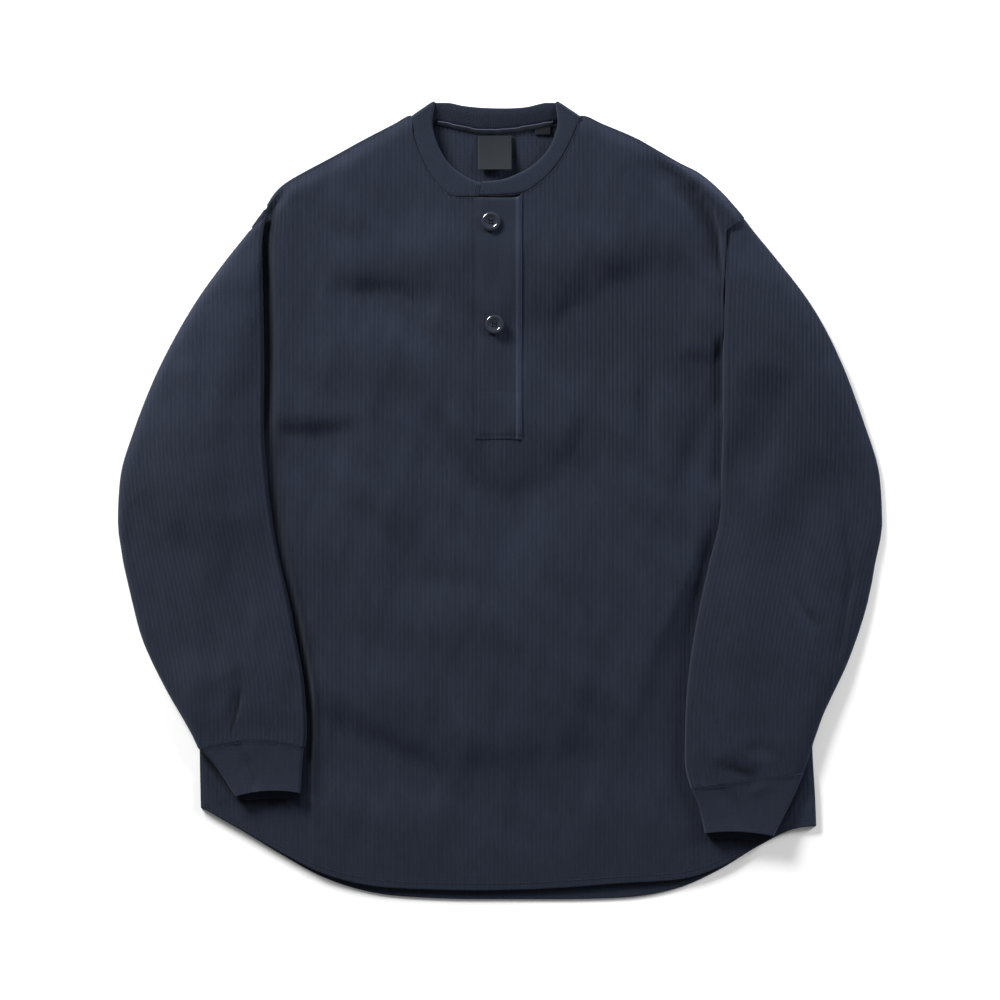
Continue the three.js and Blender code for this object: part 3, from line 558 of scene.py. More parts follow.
def add_node(tree: bpy.types.NodeTree, kind: str, **values: object) -> bpy.types.Node:
    """Add a node to a tree.

    Args:
        tree: Where it goes.
        kind: The node's type.
        values: Properties, or inputs whose names are written with underscores.

    Returns:
        The node.
    """
    node = tree.nodes.new(kind)
    for key, value in values.items():
        if hasattr(node, key):
            setattr(node, key, value)
        else:
            feed(tree, node.inputs[key.replace("_", " ")], value)
    return node


def feed(tree: bpy.types.NodeTree, socket: bpy.types.NodeSocket, value: object) -> None:
    """Join a socket to an input, or set what the input holds.

    Args:
        tree: The tree that both are in.
        socket: The input.
        value: A socket, a number or a row of numbers.
    """
    if isinstance(value, bpy.types.NodeSocket):
        tree.links.new(value, socket)
    else:
        socket.default_value = value


def maths(tree: bpy.types.NodeTree, operation: str, *inputs: object) -> bpy.types.NodeSocket:
    """Add a Math node.

    Args:
        tree: Where it goes.
        operation: What it does.
        inputs: Numbers or sockets.

    Returns:
        Its result.
    """
    node = tree.nodes.new("ShaderNodeMath")
    node.operation = operation
    for socket, value in zip(node.inputs, inputs):
        feed(tree, socket, value)
    return node.outputs[0]


def knit_stitches_group() -> bpy.types.NodeTree:
    """Make the group that draws rows of knitted V stitches.

    Returns:
        A group with the stitches' height and how deep in a gap between yarns a place is.
    """
    group = GroupDraft("Knit stitches")
    group.takes("Place", "Vector")
    group.takes("Wales per metre", "Float", 900.0)
    group.takes("Courses per metre", "Float", 700.0)
    group.takes("Slant", "Float", 0.45)
    split = group.node("ShaderNodeSeparateXYZ", Vector=group.read("Place"))
    across = group.maths("MULTIPLY", split.outputs["X"], group.read("Wales per metre"))
    along = group.maths("MULTIPLY", split.outputs["Y"], group.read("Courses per metre"))
    leg = group.maths("PINGPONG", across, 0.5)
    lean = group.maths("MULTIPLY", leg, group.read("Slant"))
    turn = group.maths("MULTIPLY", group.maths("ADD", along, group.maths("MULTIPLY", lean, 2.0)), math.tau)
    course = group.maths("MULTIPLY_ADD", group.maths("COSINE", turn), 0.5, 0.5)
    leg_turn = group.maths("COSINE", group.maths("MULTIPLY", leg, 4.0 * math.pi))
    round_leg = group.maths("MULTIPLY_ADD", leg_turn, -0.5, 0.5)
    height = group.maths("MULTIPLY", group.maths("POWER", course, 0.7), group.maths("POWER", round_leg, 0.6))
    group.gives("Height", "Float", height)
    group.gives("Gap", "Float", group.maths("SUBTRACT", 1.0, height))
    return group.tree


def worn_cloth_group() -> bpy.types.NodeTree:
    """Make the group that gives dyed cloth its uneven colour.

    Returns:
        A group that turns one colour into one that varies in patches and from yarn to yarn.
    """
    group = GroupDraft("Uneven dye")
    group.takes("Colour", "Color", (0.02, 0.03, 0.05, 1.0))
    group.takes("Patches", "Float", 0.08)
    group.takes("Yarns", "Float", 0.15)
    place = group.node("ShaderNodeTexCoord")
    broad = group.node("ShaderNodeTexNoise", Vector=place.outputs["Object"], Scale=9.0, Detail=3.0)
    stretched = group.node("ShaderNodeMapping", Vector=place.outputs["Object"], Scale=(340.0, 62.0, 62.0))
    fine = group.node("ShaderNodeTexNoise", Vector=stretched.outputs["Vector"], Scale=1.0, Detail=2.0)
    uneven = [
        group.maths("MULTIPLY", group.maths("SUBTRACT", noise.outputs["Fac"], 0.5), group.read(name))
        for noise, name in ((broad, "Patches"), (fine, "Yarns"))
    ]
    factor = group.maths("ADD", 1.0, group.maths("MULTIPLY", group.maths("ADD", *uneven), 2.0))
    scaled = group.node("ShaderNodeVectorMath", operation="SCALE")
    group.tree.links.new(group.read("Colour"), scaled.inputs[0])
    group.tree.links.new(factor, scaled.inputs["Scale"])
    group.gives("Colour", "Color", scaled.outputs["Vector"])
    return group.tree


def fibre_fuzz_group() -> bpy.types.NodeTree:
    """Make the group that draws loose fibres on cloth.

    Returns:
        A group with the fibres' height.
    """
    group = GroupDraft("Fibre fuzz")
    group.takes("Scale", "Float", 1400.0)
    place = group.node("ShaderNodeTexCoord").outputs["Object"]
    noise = group.node("ShaderNodeTexNoise", Vector=place, Scale=group.read("Scale"), Detail=2.0)
    group.gives("Height", "Float", noise.outputs["Fac"])
    return group.tree


@dataclass(frozen=True)
class ClothFinish:
    """A knitted or woven cloth: colour on the crests, painted shade in the grooves and between the yarns, and
    the size of its stitches.
    """

    name: str
    colour: tuple[float, float, float]
    # groove: share of the colour kept in the grooves, painted shade for their hollows.
    groove: float = 0.6
    roughness: float = 0.9
    sheen: float = 0.08
    wales: float = 900.0
    courses: float = 700.0
    stitch_height: float = 0.00025
    patches: float = 0.06
    yarns: float = 0.12

    def material(self, groups: dict[str, bpy.types.NodeTree]) -> bpy.types.Material:
        """Make the material.

        Args:
            groups: The shared node groups by name.

        Returns:
            The material.
        """
        made = bpy.data.materials.new(self.name)
        made.use_nodes = True
        tree = made.node_tree
        shader = tree.nodes["Principled BSDF"]
        cloth = {"Specular IOR Level": 0.12, "Sheen Roughness": 0.5, "Sheen Tint": (0.75, 0.82, 1.0, 1.0)}
        for name, value in {"Roughness": self.roughness, "Sheen Weight": self.sheen, **cloth}.items():
            feed(tree, shader.inputs[name], value)

        dye = add_node(
            *(tree, "ShaderNodeGroup"),
            node_tree=groups["dye"],
            Colour=(*self.colour, 1.0),
            Patches=self.patches,
            Yarns=self.yarns,
        )
        place = add_node(tree, "ShaderNodeUVMap", uv_map="cloth")
        stitches = add_node(
            *(tree, "ShaderNodeGroup"),
            node_tree=groups["stitches"],
            Place=place.outputs["UV"],
            Wales_per_metre=self.wales,
            Courses_per_metre=self.courses,
        )
        fuzz = add_node(tree, "ShaderNodeGroup", node_tree=groups["fuzz"])

        # Painted shade and painted light: the rib attribute darkens the colour in grooves and painted shadows
        # and lightens it where light is painted.
        rib = add_node(tree, "ShaderNodeAttribute", attribute_name="rib")
        painted_shading = maths(tree, "MULTIPLY_ADD", rib.outputs["Fac"], 1.0 - self.groove, self.groove)
        # Painted shade in the gaps between yarns: up to a quarter darker where the stitches are lowest.
        gap = maths(tree, "MULTIPLY_ADD", stitches.outputs["Gap"], -0.25, 1.0)
        darken = add_node(tree, "ShaderNodeVectorMath", operation="SCALE")
        tree.links.new(dye.outputs["Colour"], darken.inputs[0])
        tree.links.new(maths(tree, "MULTIPLY", painted_shading, gap), darken.inputs["Scale"])
        tree.links.new(darken.outputs["Vector"], shader.inputs["Base Color"])

        height = maths(tree, "MULTIPLY_ADD", fuzz.outputs["Height"], 0.5, stitches.outputs["Height"])
        bump = add_node(tree, "ShaderNodeBump", Strength=0.7, Distance=self.stitch_height, Height=height)
        tree.links.new(bump.outputs["Normal"], shader.inputs["Normal"])
        return made


@dataclass(frozen=True)
class GlossFinish:
    """Polished button plastic with faint swirls under its surface."""

    name: str
    colour: tuple[float, float, float]
    roughness: float = 0.12

    def material(self, groups: dict[str, bpy.types.NodeTree]) -> bpy.types.Material:
        """Make the material.

        Args:
            groups: The shared node groups by name.

        Returns:
            The material.
        """
        made = bpy.data.materials.new(self.name)
        made.use_nodes = True
        tree = made.node_tree
        shader = tree.nodes["Principled BSDF"]
        feed(tree, shader.inputs["Coat Weight"], 0.6)
        feed(tree, shader.inputs["Coat Roughness"], 0.04)
        swirls = {"Colour": (*self.colour, 1.0), "Patches": 0.3, "Yarns": 0.2}
        dye = add_node(tree, "ShaderNodeGroup", node_tree=groups["dye"], **swirls)
        tree.links.new(dye.outputs["Colour"], shader.inputs["Base Color"])
        place = add_node(tree, "ShaderNodeTexCoord")
        wear = add_node(tree, "ShaderNodeTexNoise", Vector=place.outputs["Object"], Scale=900.0, Detail=4.0)
        rough = maths(tree, "MULTIPLY_ADD", wear.outputs["Fac"], 0.12, self.roughness - 0.05)
        tree.links.new(rough, shader.inputs["Roughness"])
        return made


NAVY = (0.0165, 0.0215, 0.0369)
TAPE_BLUE = (0.060, 0.070, 0.098)
LABEL_GREY = (0.0140, 0.0180, 0.0216)
TAB_GREY = (0.0065, 0.0075, 0.010)
THREAD_BLUE = (0.021, 0.026, 0.042)
BUTTON_NAVY = (0.012, 0.016, 0.026)


class Finishes:
    """All the finishes of the top, made once."""

    def __init__(self) -> None:
        """Make the shared node groups and every material."""
        groups = {
            "stitches": knit_stitches_group(),
            "dye": worn_cloth_group(),
            "fuzz": fibre_fuzz_group(),
        }
        self.knit = ClothFinish("Rib knit", NAVY, groove=0.52, patches=0.08, yarns=0.24).material(groups)
        smooth = ClothFinish("Smooth rib", NAVY, groove=0.8, wales=1000.0, courses=800.0)
        self.smooth = smooth.material(groups)
        tight = {"roughness": 0.6, "wales": 2600.0, "courses": 2600.0, "stitch_height": 0.00008}
        self.tape = ClothFinish(
            "Neck tape cloth", TAPE_BLUE, wales=1300.0, courses=1300.0, stitch_height=0.0002
        ).material(groups)
        self.label = ClothFinish("Label satin", LABEL_GREY, **tight).material(groups)
        self.tab = ClothFinish("Size tab satin", TAB_GREY, **tight).material(groups)
        self.thread = ClothFinish(
            "Sewing thread", THREAD_BLUE, groove=1.0, roughness=0.6, wales=1500.0, courses=1500.0
        ).material(groups)
        self.button = GlossFinish("Button plastic", BUTTON_NAVY).material(groups)


def dress(piece: bpy.types.Object, material: bpy.types.Material, slot: Slot, *nodes: str) -> bpy.types.Object:
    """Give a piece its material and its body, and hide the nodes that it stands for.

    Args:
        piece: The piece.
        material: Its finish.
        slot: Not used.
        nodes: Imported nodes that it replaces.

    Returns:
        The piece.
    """
    piece.data.materials.append(material)
    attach(piece, "root")
    if nodes:
        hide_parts(*nodes)
    triangles = sum(len(face.vertices) - 2 for face in piece.data.polygons)
    LOG.info("%s: %d triangles", piece.name, triangles)
    return piece


@dataclass
class Sleeve:
    """One sleeve, pressed flat, whose ribs run along its inner edge."""

    name: str
    side: int
    keys: tuple[float, ...]
    inner_values: tuple[float, ...]
    outer_values: tuple[float, ...]
    armhole_outer: tuple[float, float]
    armhole_inner: tuple[float, float]
    cuff_seam: tuple[float, float, float, float, float]  # left x and y, right x and y, bow
    body_side: Curve
    folds: tuple[Field, ...]
    flat: tuple[float, float]
    area: float
    outer_radius: float = 10.0
    # Painted shade: creases and patches darkened in colour, and the rib value that the pressed inner edge is
    # painted with.
    shades: tuple[Field, ...] = ()
    edge_shade: float = -0.3

    def __post_init__(self) -> None:
        """Make the curves of the two edges."""
        self.inner = Curve(self.keys, self.inner_values)
        self.outer = Curve(self.keys, self.outer_values)

    def width(self, y: Array) -> Array:
        """Width of the pressed sleeve at a height."""
        return np.abs(self.outer(y) - self.inner(y))

    def covers(self, out: Array, y: Array) -> Array:
        """Whether the cloth reaches places that lie some way out from the inner edge.

        Args:
            out: Distance from the inner edge.
            y: Height.

        Returns:
            True where there is cloth.
        """
        x = self.inner(y) + self.side * out
        outer_x, outer_y = self.armhole_outer
        inner_x, inner_y = self.armhole_inner
        armhole = mix(inner_y, outer_y, (x - inner_x) / (outer_x - inner_x))
        return (self.width(y) >= out) & (y <= armhole) & (y >= self.seam_y(x) + 0.1)

    def column_ends(self, out: Array, widest_y: float, beyond: float) -> Array:
        """Close in on where each column ends.

        Args:
            out: Each column's distance from the inner edge.
            widest_y: A height at which every column is on the cloth.
            beyond: A height at which none is.

        Returns:
            The height of each column's end.
        """
        inside = np.full(out.shape, float(widest_y))
        outside = np.full(out.shape, float(beyond))
        for _ in range(30):
            middle = (inside + outside) / 2.0
            reaches = self.covers(out, middle)
            inside = np.where(reaches, middle, inside)
            outside = np.where(reaches, outside, middle)
        return inside

    def net(self) -> tuple[Array, Array, Array]:
        """Lay out the columns and rows.

        Returns:
            Places across, places along, and distances from the inner edge.
        """
        heights = np.arange(-170.0, 130.0, 5.0)
        widest_y = heights[np.argmax(self.width(heights))]
        widest = float(self.width(widest_y)) - 0.4
        count = COLUMNS_PER_RIB * round(widest / RIB_PITCH)
        out = np.linspace(0.0, widest, count + 1)
        top = self.column_ends(out, widest_y, 320.0)
        bottom = self.column_ends(out, widest_y, -320.0)
        close = (0.0, 0.5, 1.2, 2.2, 3.6, 5.4, 8.0, 11.5, 16.0)
        y = rows_between(top, bottom, 96, close)
        x = self.inner(y) + self.side * out[:, None]
        return x, y, np.broadcast_to(out[:, None], x.shape)

    def under_level(self, x: Array, y: Array) -> Array:
        """Height of the underside, beside the body and over it."""
        inward = self.side * (self.body_side(np.minimum(y - 75.0, 196.0)) - x)
        return mix(0.0, ON_BODY, smooth_step(inward, -72.0, 4.0)) * (1.0 - smooth_step(y, 215.0, 275.0))

    def seam_y(self, x: Array) -> Array:
        """Height of the cuff's seam on the drawing.

        Args:
            x: Places across.

        Returns:
            The heights.
        """
        left_x, left_y, right_x, right_y, bow = self.cuff_seam
        t = np.clip((x - left_x) / (right_x - left_x), 0.0, 1.0)
        return mix(left_y, right_y, t) + bow * 4.0 * t * (1.0 - t)

    def half_height(self, x: Array, y: Array, out: Array, relief: Array, folds: Array) -> Array:
        """Half of the sleeve's thickness.

        Args:
            x: Places across.
            y: Places along.
            out: Distances from the inner edge.
            relief: Height of the ribs.
            folds: Height of the folds.

        Returns:
            Half of the thickness, with the ribs and the round pressed edges.
        """
        middle = (self.inner(y) + self.outer(y)) / 2.0
        aside = np.clip(np.abs(x - middle) / (self.width(y) / 2.0), 0.0, 1.0)
        inner_distance = out + FOLD_RADIUS * smooth_step(y, 215.0, 240.0)
        outer_distance = np.maximum(self.width(y) - out, 0.0)
        from_seam = smooth_step(y - self.seam_y(x), 0.0, 36.0)
        free = smooth_step(np.minimum(inner_distance, outer_distance), 0.0, 15.0) * from_seam
        sag = 2.2 * smooth_step(-y, 0.0, 190.0)
        slack = (4.4 - sag) * from_seam * (1.0 - aside**3) ** 1.2 + 2.0 * folds * free
        sewn = smooth_step(y, 212.0, 262.0)
        thick = mix(SLEEVE_THICK + 1.4 + slack, SEWN_THICK, sewn)
        thick = (thick + 1.4 + np.sqrt((thick - 1.4) ** 2 + 3.0)) / 2.0
        share = rounded(inner_distance, FOLD_RADIUS) * rounded(outer_distance, self.outer_radius)
        return mix(FOLD_RIM, thick / 2.0 + relief, share)

    def build(self) -> bpy.types.Object:
        """Make the sleeve as an upper and a lower wall that meet at the pressed edges.

        Returns:
            The piece.
        """
        x, y, out = self.net()
        if self.side < 0:
            x, y, out = x[::-1], y[::-1], out[::-1]
        folds = all_lifts(self.folds, x, y)
        none = np.zeros(x.shape)
        level = self.under_level(x, y)
        low = self.half_height(x, y, out, none, none)
        middle = level + low
        rib = rib_share(out)
        draft = MeshDraft()
        high = self.half_height(x, y, out, rib * RIB_RELIEF, folds)
        least = 0.05 - np.maximum(low - WALL, 0.0)
        inside = np.maximum(self.half_height(x, y, out, none, folds) - WALL, least)
        places = np.stack([out, y], axis=-1)
        strength = rib_strength(x, y)
        high = high - (1.0 - strength) * rib * RIB_RELIEF * np.minimum(1.0, (high - FOLD_RIM) / 2.0)
        # Painted shade in the grooves, on the listed creases and patches, and at the pressed inner edge.
        shade = 1.0 - strength * (1.0 - rib) - all_lifts(self.shades, x, y)
        shade = mix(self.edge_shade, shade, smooth_step(out, 0.8, 4.2))
        draft.add_sheet(x, y, middle + high, middle + inside, 8, places, shade)
        few = np.unique(np.append(np.arange(0, x.shape[0], 6), x.shape[0] - 1))
        lower_top = middle - np.maximum(low - WALL, 0.05)
        draft.add_sheet(x[few], y[few], lower_top[few], (middle - low)[few], 1, places[few])
        return draft.build(self.name)


LEFT_KEYS = (-250, -232, -187, -140, -100, -60, -20, 20, 70, 140, 200, 240, 264, 283)
LEFT_INNER = (-195, -193.5, -195.5, -203.5, -211, -220, -227.5, -232.5, -236, -236, -237, -238, -237, -233.5)
LEFT_OUTER = (
    *(-300.5, -309, -335, -357.5, -368.5, -377.5, -382.5),
    *(-380.5, -366.5, -337.5, -303.5, -274.5, -255.5, -241),
)
RIGHT_KEYS = (-290, -260, -220, -160, -100, -60, -24, 20, 80, 160, 200, 246, 268, 284)
RIGHT_INNER = (190.5, 184, 184.5, 189.5, 200, 209, 217.5, 220, 221.5, 222, 223, 225.5, 226, 227)
RIGHT_OUTER = (295, 306.5, 319.5, 347.5, 367.5, 375, 381.5, 379.5, 362.5, 330.5, 307.5, 272, 254, 241.5)


def left_sleeve() -> Sleeve:
    """Give the sleeve on the left."""
    return Sleeve(
        name="left_sleeve_knit",
        side=-1,
        keys=LEFT_KEYS,
        inner_values=LEFT_INNER,
        outer_values=LEFT_OUTER,
        armhole_outer=(-248.5, 271.3),
        armhole_inner=(-233.5, 284.6),
        cuff_seam=(-301, -247.5, -196, -246, 8),
        body_side=LEFT_SIDE,
        folds=(
            Crease(((-374, 0), (-334, -40), (-310, -92), (-268, -172)), 24, 44, -6.2),
            Crease(((-314, -54), (-290, -108), (-258, -178)), 9, 9, 2.4),
            Crease(((-262, -14), (-262, -80), (-262, -136)), 14, 18, -3.4),
            Crease(((-258, -186), (-262, -208), (-271, -238)), 1.8, 7, -3.6),
            Fold(-272, 120, 72, 80, 16, 1.6),
            Fold(-300, 62, 80, 74, 60, 3.0),
            Fold(-258, -112, 80, 40, 24, -2.8),
            Fold(-300, 20, 80, 60, 60, 1.6),
            Ripple(11, 0.7, 20, 90, 2.0),
        ),
        flat=(0.31, 0.56),
        area=0.128,
        # Painted shade along the crease above the cuff.
        shades=(Crease(((-258, -186), (-262, -208), (-271, -238)), 1.8, 2.2, 1.7),),
    )


def right_sleeve() -> Sleeve:
    """Give the sleeve on the right."""
    return Sleeve(
        name="right_sleeve_knit",
        side=1,
        keys=RIGHT_KEYS,
        inner_values=RIGHT_INNER,
        outer_values=RIGHT_OUTER,
        armhole_outer=(243.5, 282.3),
        armhole_inner=(225.5, 269.3),
        cuff_seam=(190, -287, 302.5, -272, 0),
        body_side=RIGHT_SIDE,
        folds=(
            Crease(((280, 132), (263, 66), (242, 8)), 16, 34, -5.2),
            Crease(((326, 44), (296, -36), (298, -112)), 24, 26, -5.0),
            Crease(((292, -88), (304, -112), (318, -132)), 5, 7, -2.6),
            Crease(((340, 12), (349, -80), (336, -168)), 4, 5, -2.4),
            Crease(((214, -262), (238, -268), (258, -276)), 4, 8, -3.0),
            Crease(((244, -252), (258, -248), (276, -256)), 8, 10, -2.2),
            Fold(242, -120, 84, 84, 20, 2.2),
            Fold(290, 170, 60, 70, 34, 2.0),
            Fold(312, 84, 100, 60, 34, 3.0),
            Fold(232, 84, 86, 60, 10, 1.4),
            Ripple(12, 0.7, 20, 90, 2.0),
        ),
        flat=(0.33, 0.58),
        area=0.14,
        outer_radius=22.0,
        # Painted shade: the crease over the cuff, a small dent beside it, soft patches by the armpit, and a
        # dark inner edge.
        shades=(
            Crease(((214, -262), (238, -268), (259, -276)), 3.4, 4.4, 1.2),
            Fold(251, -266, 20, 9, 6, 0.6),
            Fold(250, 72, 70, 44, 20, 0.34),
            Fold(226, 46, 90, 26, 9, 0.4),
        ),
        edge_shade=0.15,
    )


CUFF_KEYS = (0.0, 0.35, 1.0)


@dataclass
class Cuff:
    """One cuff: a short tube of fine rib, pressed flat, with its lower layer showing at the mouth."""

    name: str
    left_x: tuple[float, float, float]
    left_y: tuple[float, float, float]
    right_x: tuple[float, float, float]
    right_y: tuple[float, float, float]
    bow: tuple[float, float, float]
    flat: tuple[float, float]
    area: float
    folds: tuple[Field, ...] = ()
    mouth_rise: float = 2.6
    rib_pitch: float = 2.2

    def places(self, share: Array, along: Array, lip: float) -> tuple[Array, Array]:
        """Give places across and along the cuff.

        Args:
            share: From the left edge, 0, to the right edge, 1.
            along: From the seam, 0, to the mouth, 1.
            lip: How far this layer reaches past the mouth.

        Returns:
            The places' x and y.
        """
        left_x, left_y, right_x, right_y, bow = (
            Curve(CUFF_KEYS, values)(along)
            for values in (self.left_x, self.left_y, self.right_x, self.right_y, self.bow)
        )
        hump = 4.0 * share * (1.0 - share)
        past = lip * along * along * np.minimum(1.0, 1.5 * hump)
        return mix(left_x, right_x, share), mix(left_y, right_y, share) + bow * hump - past

    def build(self) -> bpy.types.Object:
        """Make the cuff's upper and lower layers.

        Returns:
            The piece.
        """
        mean_width = (self.right_x[0] - self.left_x[0] + self.right_x[2] - self.left_x[2]) / 2.0
        ribs = round(mean_width / self.rib_pitch)
        share = np.linspace(0.0, 1.0, ribs * 4 + 1)[:, None] * np.ones((1, 26))
        along = np.concatenate([[0.0, 0.012, 0.03], np.linspace(0.07, 0.93, 20), [0.97, 0.988, 1.0]])
        along = along[None, :] * np.ones_like(share)
        x, y = self.places(share, along, 0.0)
        edge = np.minimum(share, 1.0 - share) * mean_width
        round_edge = rounded(edge, FOLD_RADIUS)
        rib = 0.5 + 0.5 * np.cos(2.0 * math.pi * ribs * share)
        middle = ON_BODY + CUFF_THICK / 2.0
        rise = self.mouth_rise * along**3 * round_edge
        puff = 0.75 * np.exp(-22.0 * along) + all_lifts(self.folds, x, y)
        top = middle + (CUFF_THICK / 2.0 + rib * 0.25 + puff) * round_edge + rise
        under = middle + np.maximum(CUFF_THICK / 2.0 - 2.2, 0.05) * round_edge + rise
        places = np.stack([share * mean_width, y], axis=-1)
        draft = MeshDraft()
        # Painted shade: the cuff is darker in its grooves and darkest at both pressed edges.
        shade = mix(0.0, 0.1 + 0.5 * rib, smooth_step(edge, 0.6, 2.6))
        draft.add_sheet(x, y, top, under, 8, places, shade)
        low_x, low_y = self.places(share, along, CUFF_LIP)
        low_under = middle - (CUFF_THICK / 2.0) * round_edge
        low_top = low_under + mix(2.2, 1.2, along**2) * round_edge
        # Painted shade inside the mouth, on the end of the lower layer.
        painted_mouth_shade = 1.2 * smooth_step(along, 0.9, 0.97)
        draft.add_sheet(low_x, low_y, low_top, low_under, 8, places, 0.35 * rib - painted_mouth_shade)
        return draft.build(self.name)


def cuff_seam(cuff: Cuff) -> Array:
    """Give the line of stitches beside a cuff's seam.

    Args:
        cuff: The cuff.

    Returns:
        The line's points, one in each row.
    """
    share = np.linspace(0.06, 0.94, 60)
    x, y = cuff.places(share, np.full(share.shape, 0.05), 0.0)
    return np.stack([x, y, np.full(share.shape, ON_BODY + CUFF_THICK + 0.25)], axis=-1)


def left_cuff() -> Cuff:
    """Give the cuff on the left."""
    return Cuff(
        name="left_cuff_rib",
        left_x=(-301, -286, -264.5),
        left_y=(-247.5, -263, -295),
        right_x=(-196, -197.5, -199.5),
        right_y=(-246, -262, -291.5),
        bow=(8, 7, 4),
        folds=(
            Crease(((-264, -238), (-252, -262), (-241, -292)), 3, 9, -1.4),
            Fold(-246, -284, 90, 10, 5, -0.9),
            Fold(-252, -250, 30, 18, 9, 0.6),
        ),
        flat=(0.20, 0.052),
        area=0.0085,
    )


def right_cuff() -> Cuff:
    """Give the cuff on the right."""
    return Cuff(
        name="right_cuff_rib",
        left_x=(190, 196.5, 203.5),
        left_y=(-287, -302, -331.5),
        right_x=(302.5, 293, 272.5),
        right_y=(-272, -294, -334.5),
        bow=(0, 1, 3),
        folds=(Crease(((212, -284), (232, -300), (240, -330)), 6, 9, -1.0), Fold(258, -287, 30, 10, 6, 1.1)),
        flat=(0.20, 0.062),
        area=0.0098,
    )


BAND_BACK_Z = 1.6
BAND_FRONT_Z = 7.0
BAND_LAPPED_Z = 8.9
BAND_STAND = 4.6  # how much higher than its seam the free edge stands behind
Station = tuple[float, float, float, float]  # x and y at the seam, x and y at the free edge
BAND_FOLD_LEFT: Station = (-88.5, 381, -65, 397)
BAND_FOLD_RIGHT: Station = (79.5, 381, 55, 397)
BAND_LEFT: tuple[Station, ...] = (
    (14, 302.5, 13, 321),
    (-4, 302, -4, 316),
    (-24, 302.5, -20, 317),
    (-46, 303, -36, 324),
    (-66, 319, -51, 336),
    (-79, 342, -62, 354),
    (-87, 365, -68, 377),
    BAND_FOLD_LEFT,
)
BAND_RIGHT: tuple[Station, ...] = (
    BAND_FOLD_RIGHT,
    (74, 367, 57, 377),
    (62, 343, 49, 353),
    (45, 322, 34, 336),
    (22, 307, 17, 326),
    (0, 304.5, -1, 319.5),
    (-21.5, 304, -18, 318),
)
BAND_BACK: tuple[Station, ...] = (
    BAND_FOLD_LEFT,
    (-62.5, 378, -53, 397),
    (-38.5, 373, -37, 394),
    (-17.5, 369.5, -17, 392),
    (4, 370, 4, 391.5),
    (25.5, 373, 24, 392.5),
    (51.5, 377.5, 46, 397),
    BAND_FOLD_RIGHT,
)


def spread_stations(stations: Sequence[Station], step: float) -> Array:
    """Set stations at even steps along the band.

    Args:
        stations: The band's stations.
        step: How far apart the new ones are at the seam, in millimetres.

    Returns:
        Rows of four numbers.
    """
    table = np.asarray(stations, float)
    length = float(np.hypot(*np.diff(table[:, :2], axis=0).T).sum())
    at = np.linspace(0.0, len(table) - 1.0, max(int(length / step), 4) + 1)
    numbers = np.arange(len(table))
    return np.stack([Curve(numbers, table[:, column])(at) for column in range(4)], axis=-1)


BAND_WIDTH = 20.0
# Round the band's section: share of its width, and share of half its thickness.
BAND_SECTION = (
    *((0.0, 0.35), (0.025, 0.8), (0.08, 1.0), (0.2, 1.0), (0.4, 1.0), (0.6, 1.0), (0.8, 1.0), (0.93, 0.9)),
    *((0.975, 0.6), (1.0, 0.0), (0.975, -0.6), (0.93, -0.9)),
    *((0.6, -1.0), (0.2, -1.0), (0.025, -0.8), (0.0, -0.35)),
)


